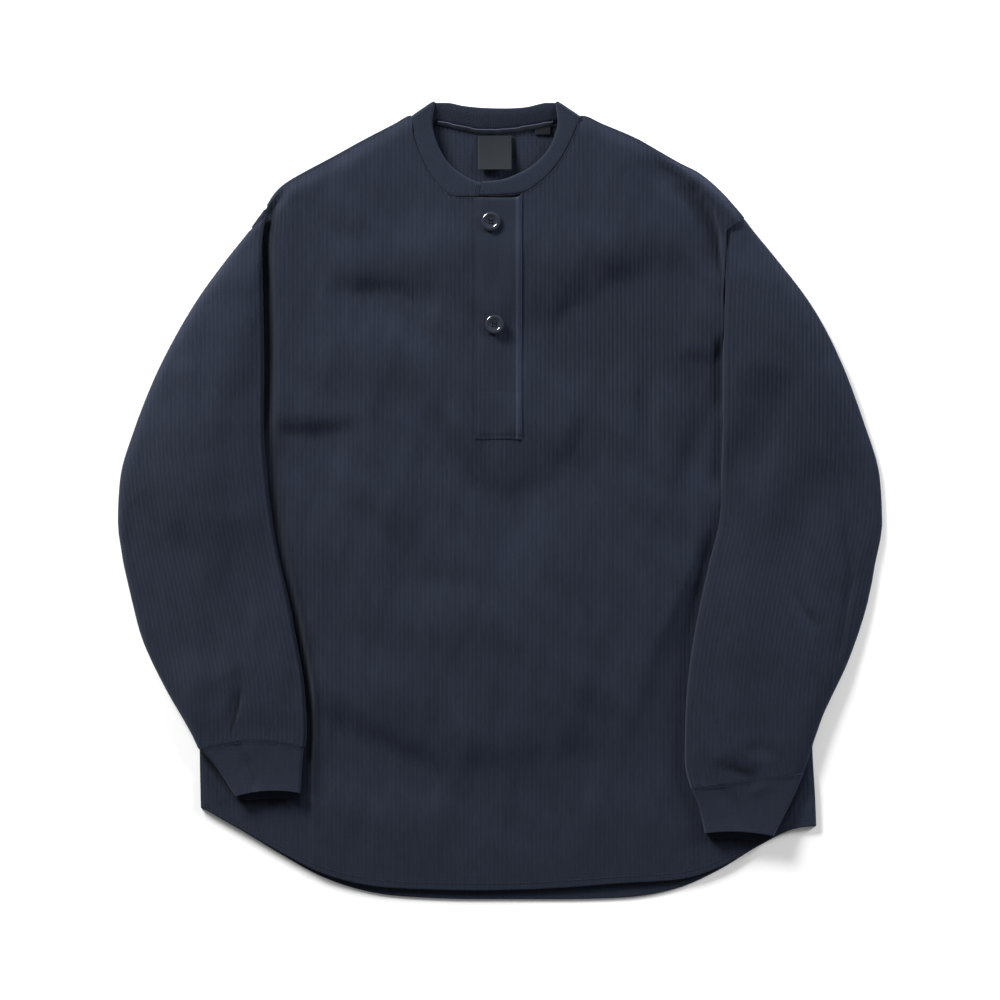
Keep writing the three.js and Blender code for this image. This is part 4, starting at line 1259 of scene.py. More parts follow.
@dataclass
class Neckband:
    """The doubled rib band round the neck: in front from both sides, round at the folds, flat behind."""

    name: str = "neckband_rib"
    step: float = 0.55
    rib_pitch: float = 2.2
    relief: float = 0.28

    def path(self) -> tuple[Array, Array, Array, Array]:
        """Lay the stations out in order, from the lower end in front to the upper one.

        Returns:
            Stations, heights at the seam, how far each is turned over, in radians, and how much higher the
            free edge is than the seam.
        """
        left = spread_stations(BAND_LEFT, self.step)
        back = spread_stations(BAND_BACK, self.step)
        right = spread_stations(BAND_RIGHT, self.step)
        turns = np.linspace(0.0, math.pi, 15)
        radius = (BAND_FRONT_Z - BAND_BACK_Z) / 2.0
        middle = (BAND_FRONT_Z + BAND_BACK_Z) / 2.0

        def folded(station: Station, outward: int, order: Array) -> tuple[Array, Array]:
            """Turn the band over at one side of the neck.

            Args:
                station: The fold's station.
                outward: 1 or -1, the way that the fold bulges.
                order: How far the band is turned over at each step, in radians.

            Returns:
                The stations, and their heights at the seam.
            """
            seam, free = np.array(station[:2]), np.array(station[2:])
            ahead = (free - seam) / np.hypot(*(free - seam))
            out = np.array([-ahead[1], ahead[0]]) * outward * radius
            reach = np.sin(order)[:, None] * out[None, :] * 0.5
            return np.concatenate([seam + reach, free + reach], axis=1), middle + radius * np.cos(order)

        left_fold, left_z = folded(BAND_FOLD_LEFT, 1, turns)
        right_fold, right_z = folded(BAND_FOLD_RIGHT, -1, turns[::-1])
        lapped = mix(BAND_FRONT_Z, BAND_LAPPED_Z, 1.0 - smooth_step(right[1:, 0], 20.0, 50.0))
        stations = np.concatenate([left[:-1], left_fold, back[1:-1], right_fold, right[1:]])
        front_z = np.full(len(left) - 1, BAND_FRONT_Z)
        back_z = np.full(len(back) - 2, BAND_BACK_Z)
        heights = np.concatenate([front_z, left_z, back_z, right_z, lapped])
        turned = np.full(len(back_z), math.pi)
        over = np.concatenate([np.zeros(len(front_z)), turns, turned, turns[::-1], np.zeros(len(lapped))])
        stands = BAND_STAND * (0.5 - 0.5 * np.cos(over))
        return stations, heights, over, stands

    def build(self) -> bpy.types.Object:
        """Sweep the band's rounded section along its path.

        Returns:
            The piece.
        """
        stations, heights, over, stands = self.path()
        seam, free = stations[:, :2], stations[:, 2:]
        steps = np.hypot(*np.diff((seam + free) / 2.0, axis=0).T)
        travelled = np.concatenate([[0.0], np.cumsum(steps)])
        width = np.hypot(*(free - seam).T)
        ahead = (free - seam) / width[:, None]
        first_half = np.arange(len(stations)) < len(stations) // 2
        outward = np.where(first_half, 1.0, -1.0)
        out = np.stack([-ahead[:, 1], ahead[:, 0]], axis=-1) * outward[:, None]
        up = np.concatenate([out * np.sin(over)[:, None], np.cos(over)[:, None]], axis=1)
        half = RIB_WALL / 2.0
        rib = 0.5 + 0.5 * np.cos(2.0 * math.pi * travelled / self.rib_pitch)
        base = np.concatenate([seam, heights[:, None]], axis=1)
        flat_ahead = np.concatenate([ahead, (stands / width)[:, None]], axis=1)

        share, rise = np.asarray(BAND_SECTION).T
        fade = np.clip(6.0 * share * (1.04 - share), 0.0, 1.0)
        amount = rise * half + np.sign(rise) * self.relief * rib[:, None] * fade
        rings = base[:, None] + flat_ahead[:, None] * (share * width[:, None])[..., None]
        rings = rings + up[:, None] * amount[..., None]
        places = np.stack(np.broadcast_arrays(travelled[:, None], share * BAND_WIDTH), axis=-1)
        # Painted shade in the band's grooves.
        shade = np.broadcast_to((0.4 + 0.5 * rib)[:, None], amount.shape)
        draft = MeshDraft()
        draft.add_tube(rings, places, shade, end_turn=-1)
        return draft.build(self.name)


LEFT_BANK = {
    "low": Curve(
        (-300, -240, -150, -60, 60, 110, 150, 230, 284, 300),
        (0.25, 0.0, 0.0, 0.3, 0.3, 0.1, 0.0, 0.0, 0.1, 1.0),
    ),
    "reach": Curve((-300, -200, 0, 200, 280), (11, 11, 15, 17, 15)),
}
RIGHT_BANK = {
    "low": Curve(
        (-330, -270, -60, -24, 4, 28, 58, 80, 102, 146, 166, 200, 260),
        (0.4, 0.1, 0.0, 0.5, 0.8, 0.3, 0.35, 0.5, 0.0, 0.0, 0.8, 1.0, 1.0),
    ),
    "reach": Curve((-330, -200, -60, 0, 60, 160, 260), (70, 60, 20, 22, 22, 14, 24)),
}


# Painted shade in the gap beside the left sleeve, by the distance from the sleeve's edge.
TRENCH_SHADE = Curve((-8, -4, 3, 6.5, 8.5, 17), (0.0, 0.5, 0.5, 1.1, 1.0, 0.0))
# Painted shadow under each cuff's mouth: from where to where it changes at the left, right, bottom and top.
MOUTHS = (
    ((-267.0, -258.0), (-202.0, -198.0), (-305.0, -300.0), (-290.0, -286.0)),
    ((203.0, 210.0), (268.0, 275.0), (-340.5, -337.0), (-330.0, -326.0)),
)
MOUTH_SHADE = 1.5
# Painted shade on small places in the shade of a fold or of another piece, and painted light on a few that
# are made paler.
BODY_SHADES: tuple[Field, ...] = (
    Crease(((190, 318), (206, 290), (214, 262), (217, 216)), 8, 10, 0.55),
    Crease(((150, 348), (196, 326), (222, 306), (240, 280)), 6, 6, -0.5),
    Fold(190, 122, 84, 40, 22, 0.3),
    Crease(((13, 368), (13.8, 347), (14, 325)), 2.4, 2.4, 2.2),
    Crease(((-28, 329), (-5, 327.5), (18, 327)), 3, 3, 2.0),
    Crease(((-72, 388), (-60, 352), (-42, 326)), 7, 7, 0.9),
    Fold(303, -300, 80, 34, 15, -0.8),
    Fold(-284, -286, 90, 26, 14, -0.3),
    Crease(((308, -258), (298, -290), (285, -316), (275, -338)), 3, 3, 1.5),
    Crease(((-302, -250), (-288, -266), (-268, -294)), 3, 3, 1.2),
)


class Body:
    """The front and back of the body, and what lies on the front."""

    def __init__(self) -> None:
        """Make the necklines and the front's folds."""
        left = spread_stations(BAND_LEFT, 1.0)[:, :2]
        right = spread_stations(BAND_RIGHT, 1.0)[:, :2]
        left = left[left[:, 0] < -20.0][::-1]
        right = right[right[:, 0] > 21.0][::-1]
        line = np.concatenate([left, [[17.0, 302.0]], right])
        line = line[np.argsort(line[:, 0], kind="stable")]
        self.neck = (line[:, 0], line[:, 1] - NECK_TUCK)
        back = spread_stations(BAND_BACK, 1.0)[:, :2]
        back = back[np.argsort(back[:, 0], kind="stable")]
        self.back_neck = (back[:, 0], back[:, 1] - NECK_TUCK)
        self.folds: tuple[Field, ...] = (
            Crease(((-178, 205), (-115, 203), (-58, 194)), 15, 46, -6.2),
            Crease(((-6, 168), (70, 166), (105, 178), (138, 206), (190, 246)), 34, 64, -10.5),
            Fold(84, 246, 14, 60, 30, 3.4),
            Fold(-112, 240, 0, 60, 24, 1.8),
            Crease(((-238, 66), (-185, 63), (-126, 72)), 12, 38, -6.0),
            Crease(((152, 190), (146, 90), (160, -18)), 8, 13, -4.0),
            Crease(((-86, 92), (-33, 14), (7, -8), (53, 14), (100, 90)), 20, 44, -5.8),
            Crease(((-148, 4), (-87, -80), (-22, -92)), 14, 34, -3.6),
            Crease(((-204, -212), (-125, -248), (-56, -290)), 22, 50, -4.8),
            Crease(((-110, -284), (30, -266), (190, -252)), 24, 60, -3.0),
            Crease(((-108, 184), (-86, 132), (-62, 80)), 12, 16, 3.0),
            Crease(((-196, 268), (-150, 262), (-110, 268)), 16, 26, -2.2),
            Crease(((156, 120), (182, 134), (204, 134), (232, 124)), 11, 46, -5.6),
            Fold(200, 60, 80, 44, 14, -4.6),
            Fold(32, -150, 80, 90, 50, 3.0),
            Fold(85, 110, 68, 76, 26, 2.0),
            Fold(-170, 140, 60, 44, 24, 2.0),
            Fold(-60, 250, 20, 60, 28, 1.2),
            Ripple(5, 1.1, 22, 110, 1.7),
        )
        # The rolls of cloth along the shoulders and the grooves inside them.
        self.rolls: tuple[Field, ...] = (
            Crease(((-252, 272), (-240, 287), (-229, 302), (-214, 315)), 7, 7, 2.6),
            Crease(((-233, 282), (-227, 294), (-214, 311)), 3, 5, -6.0),
            Crease(((148, 344), (178, 330), (196, 320), (214, 306), (230, 290), (238, 278)), 9, 8, 3.4),
            Crease(
                ((140, 349), (166, 332), (183, 320), (196, 308), (209, 289), (217, 264), (220, 216)),
                *(3, 18, -10.0),
            ),
        )

    def neckline(self, x: Array) -> Array:
        """Height of the front's neckline."""
        return np.interp(x, *self.neck)

    def lift(self, x: Array, y: Array) -> Array:
        """Height of the front over its bed.

        Args:
            x: Places across.
            y: Places along.

        Returns:
            How much the folds and the neckband below lift the cloth.
        """
        beside = self.bank(x - Curve(LEFT_KEYS, LEFT_INNER)(y), LEFT_BANK, y)
        beside = beside * self.bank(Curve(RIGHT_KEYS, RIGHT_INNER)(y) - x, RIGHT_BANK, y)
        from_hem = smooth_step(y - FRONT_HEM(x), -10.0, 90.0)
        from_shoulder = smooth_step(SHOULDER(x) - y, 0.0, 17.0)
        folds = 6.0 + all_lifts(self.folds, x, y) - 2.6 * smooth_step(-y, 225.0, 300.0)
        folds = np.minimum((folds + np.sqrt(folds * folds + 1.0)) / 2.0, 12.0)
        edge = np.minimum(from_hem, from_shoulder)
        near_neck = 1.0 - smooth_step(np.hypot((x + 4.0) / 87.0, (y - 385.0) / 84.0), 1.02, 1.6)
        rolls = all_lifts(self.rolls, x, y) * smooth_step(SHOULDER(x) - y, 0.0, 6.0)
        cloth = mix(0.9, folds, edge) * beside + rolls
        cloth = (cloth + np.sqrt(cloth * cloth + 0.3)) / 2.0
        lapped = 1.3 * smooth_step(x, -30.0, -18.0) * (1.0 - smooth_step(x, 30.0, 60.0))
        return mix(cloth, 5.0 + lapped, near_neck * from_shoulder)

    @staticmethod
    def bank(distance: Array, table: dict[str, Curve], y: Array) -> Array:
        """Share of its height that the front keeps beside a sleeve.

        Args:
            distance: How far places are from the sleeve's edge.
            table: How low the front lies at the edge, and how wide the bank is, by height.
            y: Places along.

        Returns:
            The share, 1 away from the sleeve.
        """
        low = table["low"](y)
        return mix(low, 1.0, smooth_step(distance, 3.4, table["reach"](y)))

    @staticmethod
    def painted_shade_and_light(x: Array, y: Array) -> Array:
        """Say how much painted shade darkens the cloth beside the left sleeve, under the cuffs and by other
        pieces, and where painted light makes it paler.

        Args:
            x: Places across.
            y: Places along.

        Returns:
            What comes off the rib value at each place.
        """
        shade = TRENCH_SHADE(x - Curve(LEFT_KEYS, LEFT_INNER)(y))
        shade = shade * smooth_step(y, -300.0, -286.0) * (1.0 - smooth_step(y, 285.0, 300.0))
        for left, right, bottom, top in MOUTHS:
            across = smooth_step(x, *left) * (1.0 - smooth_step(x, *right))
            shade = shade + MOUTH_SHADE * across * smooth_step(y, *bottom) * (1.0 - smooth_step(y, *top))
        return shade + all_lifts(BODY_SHADES, x, y)

    def strips(
        self, neck: tuple[Array, Array], hem: Curve, per_rib: int
    ) -> list[tuple[Array, Array, Array]]:
        """Lay out the columns of a panel in five strips that end where the panel does.

        Args:
            neck: Places across and along of the panel's neckline.
            hem: The panel's lower edge.
            per_rib: Columns for each rib.

        Returns:
            For each strip its nominal places across, and the upper and lower end of each column.
        """
        step = RIB_PITCH / per_rib

        def top_line(x: Array) -> Array:
            """Give the neckline between its ends and the shoulders beside it."""
            within = (x >= neck[0][0]) & (x <= neck[0][-1])
            return np.where(within, np.interp(x, *neck), SHOULDER(x))

        def columns(start: float, end: float) -> Array:
            """Give the columns from start to end, in step with the ribs."""
            inner = np.arange(math.ceil((start + 0.3) / step), math.floor((end - 0.3) / step) + 1) * step
            return np.concatenate([[start], inner, [end]])

        main = columns(PANEL_LEFT, PANEL_RIGHT)
        flap_left = columns(float(LEFT_SIDE(0.0)), PANEL_LEFT)
        flap_right = columns(PANEL_RIGHT, float(RIGHT_SIDE(0.0)))
        tip_left = columns(-248.2, -233.1)
        tip_right = columns(225.1, 243.2)
        armhole_left = mix(284.1, 270.8, (tip_left + 233.1) / -15.4)
        armhole_right = mix(268.9, 281.9, (tip_right - 225.1) / 18.4)
        main_top = top_line(self.warped(main, top_line(main)))
        return [
            (flap_left, HIDDEN_LEFT_ARMHOLE(-flap_left), hem(flap_left)),
            (main, main_top, hem(main)),
            (flap_right, HIDDEN_RIGHT_ARMHOLE(flap_right), hem(flap_right)),
            (tip_left, np.maximum(SHOULDER(tip_left), armhole_left + 0.2), armhole_left),
            (tip_right, np.maximum(SHOULDER(tip_right), armhole_right + 0.2), armhole_right),
        ]

    def warped(self, x: Array, y: Array) -> Array:
        """Move places beside an edge so that the outermost follow it.

        Args:
            x: Nominal places across.
            y: Places along.

        Returns:
            The places' x.
        """
        left_arm = Curve(LEFT_KEYS, LEFT_INNER)(np.clip(y, 200.0, 284.0)) + 0.4
        right_arm = Curve(RIGHT_KEYS, RIGHT_INNER)(np.clip(y, 200.0, 268.0)) - 0.4
        inside = (x > PANEL_LEFT - 0.1) & (x < PANEL_RIGHT + 0.1)
        to_left = 1.0 - smooth_step(x, PANEL_LEFT, PANEL_LEFT + BESIDE)
        to_right = smooth_step(x, PANEL_RIGHT - BESIDE, PANEL_RIGHT)
        moved = x + inside * (left_arm - PANEL_LEFT) * to_left
        moved = moved + inside * (right_arm - PANEL_RIGHT) * to_right
        low_y = np.minimum(y, 40.0)
        moved = moved + (LEFT_SIDE(low_y) + 300.5) * (1.0 - smooth_step(x, -300.5, -270.0))
        return moved + (RIGHT_SIDE(low_y) - 311.5) * smooth_step(x, 270.0, 311.5)

    def panel(
        self,
        name: str,
        neck: tuple[Array, Array],
        hem: Curve,
        per_rib: int,
        rows: int,
        height: Callable[[Array, Array], tuple[Array, Array]],
        relief: float,
        covered: Callable[[Array, Array], Array],
    ) -> bpy.types.Object:
        """Make one panel of the body.

        Args:
            name: The piece's name.
            neck: Places across and along of its neckline.
            hem: Its lower edge.
            per_rib: Columns for each rib.
            rows: Rows between the close ones at the ends.
            height: Gives the heights of the upper and the lower face, without ribs.
            relief: Height of the ribs.
            covered: Share by which something on the panel presses its ribs flat.

        Returns:
            The piece.
        """
        draft = MeshDraft()
        close = (0.0, 0.35, 0.9, 1.8, 3.2, 6.0)
        for index, (columns, top, bottom) in enumerate(self.strips(neck, hem, per_rib)):
            count = rows if index < 3 else 6
            y = rows_between(top, bottom, count, close)
            nominal = np.broadcast_to(columns[:, None], y.shape)
            x = self.warped(nominal, y)
            over, under = height(x, y)
            rib = rib_share(nominal)
            from_edge = np.minimum(top[:, None] - y, y - bottom[:, None])
            drop = 0.55 * (1.0 - rounded(from_edge, 0.9))
            places = np.stack([nominal, y], axis=-1)
            strength = rib_strength(x, y)
            stands = strength * (1.0 - covered(x, y))
            # Painted shade in the grooves, and the painted shade and painted light of the body.
            shade = 1.0 - strength * (1.0 - rib) - self.painted_shade_and_light(x, y)
            draft.add_sheet(x, y, over + rib * relief * stands - drop, under, 2 * per_rib, places, shade)
        return draft.build(name)

    def front(self) -> bpy.types.Object:
        """Make the front panel.

        Returns:
            The piece.
        """

        def height(x: Array, y: Array) -> tuple[Array, Array]:
            """Upper and lower face of the front.

            Args:
                x: Places across.
                y: Places along.

            Returns:
                The upper and the lower face.
            """
            aside = np.minimum(x - LEFT_SIDE(np.minimum(y, 40.0)), RIGHT_SIDE(np.minimum(y, 40.0)) - x)
            sewn = (1.0 - smooth_step(aside, 0.0, 6.0)) * (1.0 - smooth_step(y, 60.0, 90.0))
            under = mix(FRONT_BED + self.lift(x, y), BACK_THICK + 0.05, sewn)
            return under + WALL, under

        def covered(x: Array, y: Array) -> Array:
            """Pressed flat under the placket."""
            across = smooth_step(x, -26.0, -24.6) * (1.0 - smooth_step(x, 20.0, 21.6))
            return across * smooth_step(y, 60.0, 63.0)

        return self.panel(
            "front_panel_knit", self.neck, FRONT_HEM, COLUMNS_PER_RIB, 112, height, RIB_RELIEF, covered
        )

    def back(self) -> bpy.types.Object:
        """Make the back panel, whose inside shows in the neck and below the front's hem.

        Returns:
            The piece.
        """

        def height(x: Array, y: Array) -> tuple[Array, Array]:
            """Upper and lower face of the back."""
            flat = np.zeros(np.shape(x))
            return flat + BACK_THICK - BACK_RELIEF, flat

        def covered(x: Array, y: Array) -> Array:
            """Not pressed anywhere."""
            return np.zeros(np.shape(x))

        return self.panel(
            "back_panel_knit", self.back_neck, BACK_HEM, COLUMNS_PER_RIB, 36, height, BACK_RELIEF, covered
        )


def neck_seams(body: Body, placket: Placket) -> tuple[Array, ...]:
    """Give the lines of stitches along the neckband's seam in front.

    Args:
        body: The body, for the height of its front.
        placket: The placket, for the height of its face.

    Returns:
        One line for each side of the neck.
    """
    lines = []
    for stations in (BAND_LEFT, BAND_RIGHT):
        table = spread_stations(stations, 1.5)
        ahead = table[:, 2:] - table[:, :2]
        ahead = ahead / np.hypot(*ahead.T)[:, None]
        x, y = (table[:, :2] - 0.5 * ahead).T
        on_placket = (x > placket.left) & (x < placket.right)
        cloth = FRONT_BED + WALL + body.lift(x, y) + 0.35
        z = np.where(on_placket, placket.face(x, y) + 0.1, cloth)
        shown = (x < -24.0) | (stations is BAND_RIGHT)
        lines.append(np.stack([x, y, z], axis=-1)[shown])
    return tuple(lines)


def hem_seam(body: Body) -> Array:
    """Give the line of stitches along the front's hem.

    Args:
        body: The body.

    Returns:
        The line's points, one in each row.
    """
    x = np.linspace(-296.0, 310.0, 400)
    y = FRONT_HEM(x) + 7.0
    z = FRONT_BED + WALL + body.lift(x, y) + 0.6 * RIB_RELIEF * rib_strength(x, y)
    return np.stack([x, y, z], axis=-1)


@dataclass
class Placket:
    """The buttoned strip that runs down the front from the neck."""

    body: Body
    left: float = -25.6
    right: float = 21.3
    bottom: float = 60.5
    thick: float = 1.1
    rib_pitch: float = 2.2
    ridge: float = 17.8
    box_lines: tuple[float, float] = (107.5, 63.5)

    def build(self) -> bpy.types.Object:
        """Make the placket, which follows the front's ribs a seam's gap above them.

        Returns:
            The piece.
        """
        ribs = round((self.right - self.left) / self.rib_pitch)
        columns = np.linspace(self.left, self.right, ribs * 4 + 1)
        top = self.body.neckline(columns) - 0.2
        bottom = np.full(columns.shape, self.bottom)
        y = rows_between(top, bottom, 90, (0.0, 0.4, 1.0, 2.0, 3.5))
        x = np.broadcast_to(columns[:, None], y.shape)
        bed = self.bed(x, y)
        rib = self.rib(x, y)
        top_edge = np.minimum(top[:, None] - y, y - self.bottom)
        edge = np.minimum(self.right - x, top_edge)
        drop = 0.8 * (1.0 - rounded(edge, 2.0))
        over = self.face(x, y) - drop
        # Painted shade on the placket, with painted light on its raised right edge.
        shade = 1.5 * rib - 0.55 + 2.4 * smooth_step(x, self.ridge - 3.6, self.ridge - 1.8)
        draft = MeshDraft()
        draft.add_sheet(x, y, over, bed, 8, None, shade)
        return draft.build("placket_rib")

    def bed(self, x: Array, y: Array) -> Array:
        """Height of the front's face under the placket, with a seam's gap."""
        return FRONT_BED + WALL + self.body.lift(x, y) + 0.1

    def rib(self, x: Array, y: Array) -> Array:
        """Height on the placket's ribs, from 0 to 1: nearly flat above, clearer below."""
        clear = 0.15 + 0.4 * (1.0 - smooth_step(y, 150.0, 230.0))
        return 0.6 - clear * (0.6 - rib_share(x))

    def face(self, x: Array, y: Array) -> Array:
        """Height of the placket's face, away from its ends.

        Args:
            x: Places across.
            y: Places along.

        Returns:
            The height, with the raised edge on the right, the stitched lines and the soft edge on the left.
        """
        past_ridge = smooth_step(x, self.ridge + 0.6, self.right)
        ridge = 0.9 * smooth_step(x, self.ridge - 3.4, self.ridge) * (1.0 - past_ridge)
        lines = sum(np.exp(-(((y - line) / 1.1) ** 2)) for line in self.box_lines)
        near_end = np.minimum(x - self.left, 1.2 * (y - self.bottom))
        run_out = (self.thick - 0.6) * (1.0 - smooth_step(near_end, 0.0, 9.0))
        return self.bed(x, y) + self.thick + self.rib(x, y) * 0.5 - 0.3 + ridge - 0.5 * lines - run_out

    def top_at(self, x: float, y: float) -> float:
        """Height of the placket's face at one place."""
        return float(self.face(np.array([x]), np.array([y]))[0])

    def seams(self) -> tuple[Array, ...]:
        """Give the stitched lines: two down the right edge and the box at the lower end.

        Returns:
            The lines, each with one point in each row.
        """
        down = np.linspace(300.0, self.bottom + 2.0, 200)
        across = np.linspace(self.left + 4.0, self.right - 1.6, 40)
        edges = (self.ridge - 3.3, self.right - 0.9)
        lines = [np.stack([np.full(down.shape, x), down], axis=-1) for x in edges]
        lines += [np.stack([across, np.full(across.shape, y)], axis=-1) for y in self.box_lines]
        heights = [self.face(line[:, 0], line[:, 1])[:, None] - 0.05 for line in lines]
        return tuple(np.concatenate(pair, axis=1) for pair in zip(lines, heights))


def level_ring(x: float, y: float, z: float, radius: float, count: int) -> Array:
    """Give the points of a level circle.

    Args:
        x: Its middle, across.
        y: Its middle, along.
        z: Its height.
        radius: Its radius.
        count: How many points it has.

    Returns:
        The points, one in each row.
    """
    turns = np.linspace(0.0, 2.0 * math.pi, count, endpoint=False)
    return np.stack([x + radius * np.cos(turns), y + radius * np.sin(turns), np.full(count, z)], axis=-1)


# A button's profile from its underside to the middle of its dish: how far in from its edge, and how high.
BUTTON_PROFILE = (
    *((1.2, 0.0), (0.4, 0.2), (0.05, 0.8), (0.0, 1.3), (0.15, 1.9), (0.55, 2.45), (1.15, 2.95)),
    *((1.9, 3.25), (2.6, 3.3), (3.2, 3.1), (4.0, 2.6), (4.8, 2.1), (5.6, 1.92), (7.75, 1.9)),
)


@dataclass
class Button:
    """A round button with a rim, a dish and four holes."""

    name: str
    node: str
    x: float
    y: float
    seat: float
    radius: float = 9.75
    segments: int = 64
    hole_radius: float = 1.0
    hole_spread: float = 2.3  # from the button's middle to a hole's

    def build(self) -> bpy.types.Object:
        """Turn the button's profile and bore its holes.

        Returns:
            The piece.
        """
        rings = [
            level_ring(self.x, self.y, self.seat + height, self.radius - inward, self.segments)
            for inward, height in BUTTON_PROFILE
        ]
        draft = MeshDraft()
        draft.add_tube(np.stack(rings), turn=-1, end_turn=-1)
        button = draft.build(self.name)
        self.bore(button)
        return button

    def bore(self, button: bpy.types.Object) -> None:
        """Cut the four holes.

        Args:
            button: The button's mesh.
        """
        cutters = MeshDraft()
        for degrees in (45, 135, 225, 315):
            x = self.x + self.hole_spread * math.cos(math.radians(degrees))
            y = self.y + self.hole_spread * math.sin(math.radians(degrees))
            rings = [level_ring(x, y, self.seat + z, self.hole_radius, 20) for z in (-1.0, 5.0)]
            cutters.add_tube(np.stack(rings), turn=-1, end_turn=-1)
        tool = cutters.build("button_holes")
        cut = button.modifiers.new("holes", "BOOLEAN")
        cut.object = tool
        cut.operation = "DIFFERENCE"
        cut.solver = "EXACT"
        apply_modifiers(button)
        bpy.data.objects.remove(tool)


def button_threads(buttons: Sequence[Button]) -> tuple[Array, ...]:
    """Give the lines of thread that join each button's holes two by two.

    Args:
        buttons: The buttons.

    Returns:
        The lines, two for each button.
    """
    lines = []
    for button in buttons:
        x = button.x + np.array([-1.6, 0.0, 1.6])
        z = np.full(3, button.seat + 2.15)
        for side in (-1.63, 1.63):
            lines.append(np.stack([x, np.full(3, button.y + side), z], axis=-1))
    return tuple(lines)


def apply_modifiers(piece: bpy.types.Object) -> None:
    """Replace a piece's mesh by what its modifiers make of it.

    Args:
        piece: The piece.
    """
    graph = bpy.context.evaluated_depsgraph_get()
    made = bpy.data.meshes.new_from_object(piece.evaluated_get(graph))
    piece.modifiers.clear()
    piece.data = made


@dataclass
class NeckTrim:
    """What is sewn inside the back of the neck: tape, a blank label and a blank size tab."""

    tape_ends: tuple[float, float] = (-63.0, 53.0)
    label_left: float = -22.5
    label_top: float = 364.3
    label_size: float = 34.0
    tab_left: float = 34.5
    tab_width: float = 16.0
    tab_top: float = 373.2
    tab_bottom: float = 365.6

    def tape(self) -> bpy.types.Object:
        """Make the tape that follows the back neckband's seam.

        Returns:
            The piece.
        """
        band = spread_stations(BAND_BACK, 0.8)[:, :2]
        start, end = self.tape_ends
        shown = band[(band[:, 0] > start) & (band[:, 0] < end)]
        x = np.repeat(shown[:, :1], 7, axis=1)
        offsets = np.array([1.3, 1.0, 0.4, -0.6, -1.6, -2.2, -2.5])[None, :]
        y = shown[:, 1:] + offsets
        side = np.minimum(1.3 - offsets, offsets + 2.5)
        round_edge = rounded(side, 1.3)
        wave = 0.35 * np.sin(x / 3.1) + 0.25 * np.sin(x / 1.7 + 1.0)
        under = 2.0 + 1.7 * smooth_step(offsets, -1.6, 0.8) + np.zeros_like(x)
        y = y + 0.5 * wave
        top = under + 0.35 + 0.9 * round_edge
        draft = MeshDraft()
        draft.add_sheet(x, y, top, under, 6)
        return draft.build("neck_tape_strip")

    def label(self) -> bpy.types.Object:
        """Make the label, whose lower edge stands off the back.

        Returns:
            The piece.
        """
        half = self.label_size / 2.0
        columns = np.linspace(self.label_left, self.label_left + self.label_size, 25)
        top = np.full(columns.shape, self.label_top)
        y = rows_between(top, top - self.label_size, 22, (0.0, 0.3, 0.8, 1.6))
        x = np.broadcast_to(columns[:, None], y.shape)
        share = (self.label_top - y) / self.label_size
        across = (x - self.label_left - half) / half
        under = 1.9 + 1.2 * share + 2.0 * share**2 + 1.3 * (across + 1.0) * (0.3 + 0.7 * share)
        draft = MeshDraft()
        draft.add_sheet(x, y, under + 0.7, under, 4)
        return draft.build("neck_label_blank")

    def size_tab(self) -> bpy.types.Object:
        """Make the small folded tab beside the label.

        Returns:
            The piece.
        """
        columns = np.linspace(self.tab_left, self.tab_left + self.tab_width, 13)
        top = self.tab_top + (columns - self.tab_left) / self.tab_width * 2.0
        y = rows_between(top, np.full(columns.shape, self.tab_bottom), 8, (0.0, 0.3, 0.8))
        x = np.broadcast_to(columns[:, None], y.shape)
        draft = MeshDraft()
        draft.add_sheet(x, y, np.full(x.shape, 2.9), np.full(x.shape, 1.9), 4)
        return draft.build("size_tab_blank")


@dataclass(frozen=True)
class Stitches:
    """Rows of sewing stitches: short pieces of thread that dip into the cloth at both ends."""

    name: str
    lines: tuple[Array, ...]
    length: float = 2.3
    gap: float = 0.8
    radius: float = 0.28
    sides: int = 6

    def build(self) -> bpy.types.Object:
        """Lay stitch after stitch along every line.

        Returns:
            The piece.
        """
        draft = MeshDraft()
        shares = np.array([0.0, 0.14, 0.5, 0.86, 1.0])
        thickness = np.array([0.45, 0.9, 1.0, 0.9, 0.45]) * self.radius
        dips = np.array([-0.3, 0.0, 0.08, 0.0, -0.3])
        around = np.linspace(0.0, 2.0 * math.pi, self.sides, endpoint=False)
        for line in self.lines:
            steps = np.linalg.norm(np.diff(line, axis=0), axis=1)
            travelled = np.concatenate([[0.0], np.cumsum(steps)])
            for number in range(int(travelled[-1] / (self.length + self.gap))):
                at = (number + 0.15) * (self.length + self.gap) + shares * self.length
                middle = np.stack([np.interp(at, travelled, line[:, axis]) for axis in range(3)], axis=-1)
                middle[:, 2] += dips
                ahead = middle[-1] - middle[0]
                side = np.array([-ahead[1], ahead[0], 0.0]) / math.hypot(ahead[0], ahead[1])
                ring = np.cos(around)[None, :, None] * side + np.sin(around)[None, :, None] * UP
                points = middle[:, None, :] + ring * thickness[:, None, None]
                draft.add_tube(points, rib=np.ones(points.shape[:2]))
        return draft.build(self.name)


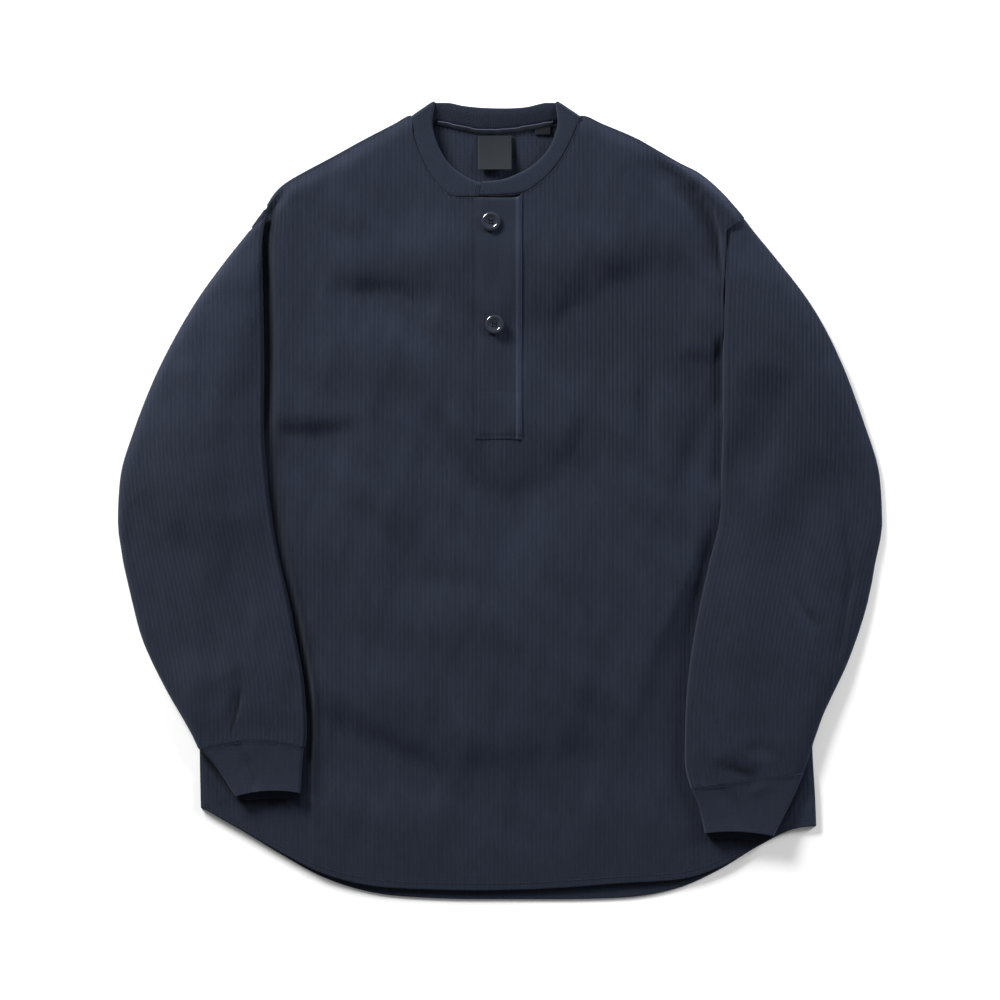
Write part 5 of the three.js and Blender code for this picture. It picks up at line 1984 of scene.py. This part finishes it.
class Studio:
    """Floor, lights and camera, as the photograph has them."""

    camera_height = 3.0
    frame_width = 1.0
    sensor = 36.0

    def floor(self) -> None:
        """Lay a plain pale floor."""
        mesh = bpy.data.meshes.new("floor")
        reach = 4.0
        corners = [(-reach, -reach, 0.0), (reach, -reach, 0.0), (reach, reach, 0.0), (-reach, reach, 0.0)]
        mesh.from_pydata(corners, [], [(0, 1, 2, 3)])
        floor = bpy.data.objects.new("floor", mesh)
        floor.location.z = -0.0004
        bpy.context.scene.collection.objects.link(floor)
        material = bpy.data.materials.new("Pale floor")
        material.use_nodes = True
        shader = material.node_tree.nodes["Principled BSDF"]
        shader.inputs["Base Color"].default_value = (0.96, 0.96, 0.96, 1.0)
        shader.inputs["Roughness"].default_value = 0.95
        mesh.materials.append(material)

    def area_light(
        self,
        name: str,
        place: tuple[float, float, float],
        target: tuple[float, float, float],
        size: tuple[float, float],
        power: float,
        mirrored: bool = True,
    ) -> None:
        """Hang a soft rectangular light.

        Args:
            name: The light's name.
            place: Where it hangs.
            target: What it faces.
            size: Its width and height.
            power: Its power in watts.
            mirrored: Whether glossy things show its image.
        """
        data = bpy.data.lights.new(name, "AREA")
        data.shape = "RECTANGLE"
        data.size, data.size_y = size
        data.energy = power
        light = bpy.data.objects.new(name, data)
        light.location = place
        light.visible_glossy = mirrored
        away = light.location - type(light.location)(target)
        light.rotation_euler = away.to_track_quat("Z", "Y").to_euler()
        bpy.context.scene.collection.objects.link(light)

    def lights(self) -> None:
        """Hang a low key light at the upper left, a fill at the upper right and a pale surround."""
        self.area_light("key", (-1.9, 2.4, 1.05), (0.0, 0.0, 0.0), (1.4, 0.7), 270.0)
        self.area_light("fill", (2.6, 1.5, 1.0), (0.0, 0.0, 0.0), (0.9, 0.9), 125.0, mirrored=False)
        world = bpy.data.worlds.new("Pale studio")
        world.use_nodes = True
        background = world.node_tree.nodes["Background"]
        background.inputs["Color"].default_value = (1.0, 1.0, 1.0, 1.0)
        background.inputs["Strength"].default_value = 0.22
        bpy.context.scene.world = world
        bpy.context.scene.view_settings.view_transform = "Standard"

    def camera(self) -> None:
        """Set the camera straight above the part."""
        data = bpy.data.cameras.new("camera")
        data.sensor_width = self.sensor
        data.lens = self.sensor * self.camera_height / self.frame_width
        camera = bpy.data.objects.new("camera", data)
        camera.location = (0.0, 0.0004, self.camera_height)
        bpy.context.scene.collection.objects.link(camera)
        bpy.context.scene.camera = camera


def main() -> None:
    """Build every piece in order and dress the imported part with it."""
    logging.basicConfig(level=logging.INFO, format="%(message)s")
    studio = Studio()
    studio.camera()
    studio.lights()
    studio.floor()
    finishes = Finishes()
    body = Body()

    back = dress(body.back(), finishes.knit, Slot.KNIT, "back_panel")
    front = dress(body.front(), finishes.knit, Slot.KNIT, "front_panel")
    for sleeve, cuff, side in ((left_sleeve(), left_cuff(), "left"), (right_sleeve(), right_cuff(), "right")):
        arm = dress(sleeve.build(), finishes.knit, Slot.KNIT, f"{side}_sleeve")
        wrist = dress(cuff.build(), finishes.smooth, Slot.SMOOTH, f"{side}_cuff")
    band = dress(Neckband().build(), finishes.smooth, Slot.SMOOTH, "neckband")
    placket = Placket(body)
    strip = dress(placket.build(), finishes.smooth, Slot.SMOOTH, "placket")
    trim = NeckTrim()
    tape = dress(trim.tape(), finishes.tape, Slot.TAPE, "neck_tape")
    label = dress(trim.label(), finishes.label, Slot.LABEL, "neck_label")
    tab = dress(trim.size_tab(), finishes.tab, Slot.LABEL, "size_tab")
    rounds = (
        Button("upper_button_disc", "upper_button", -9.5, 278.0, placket.top_at(-9.5, 278.0) + 0.2),
        Button("lower_button_disc", "lower_button", -6.0, 175.5, placket.top_at(-6.0, 175.5) + 0.2),
    )
    buttons = [dress(one.build(), finishes.button, Slot.BUTTON, one.node) for one in rounds]
    ties = Stitches("button_threads", button_threads(rounds), length=3.0, gap=0.1, radius=0.42)
    buttons.append(dress(ties.build(), finishes.thread, Slot.SMOOTH))
    lines = [*placket.seams(), *neck_seams(body, placket), hem_seam(body)]
    lines += [cuff_seam(cuff) for cuff in (left_cuff(), right_cuff())]
    seams = dress(Stitches("seam_threads", tuple(lines)).build(), finishes.thread, Slot.SMOOTH)

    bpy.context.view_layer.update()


if __name__ == "__main__":
    main()
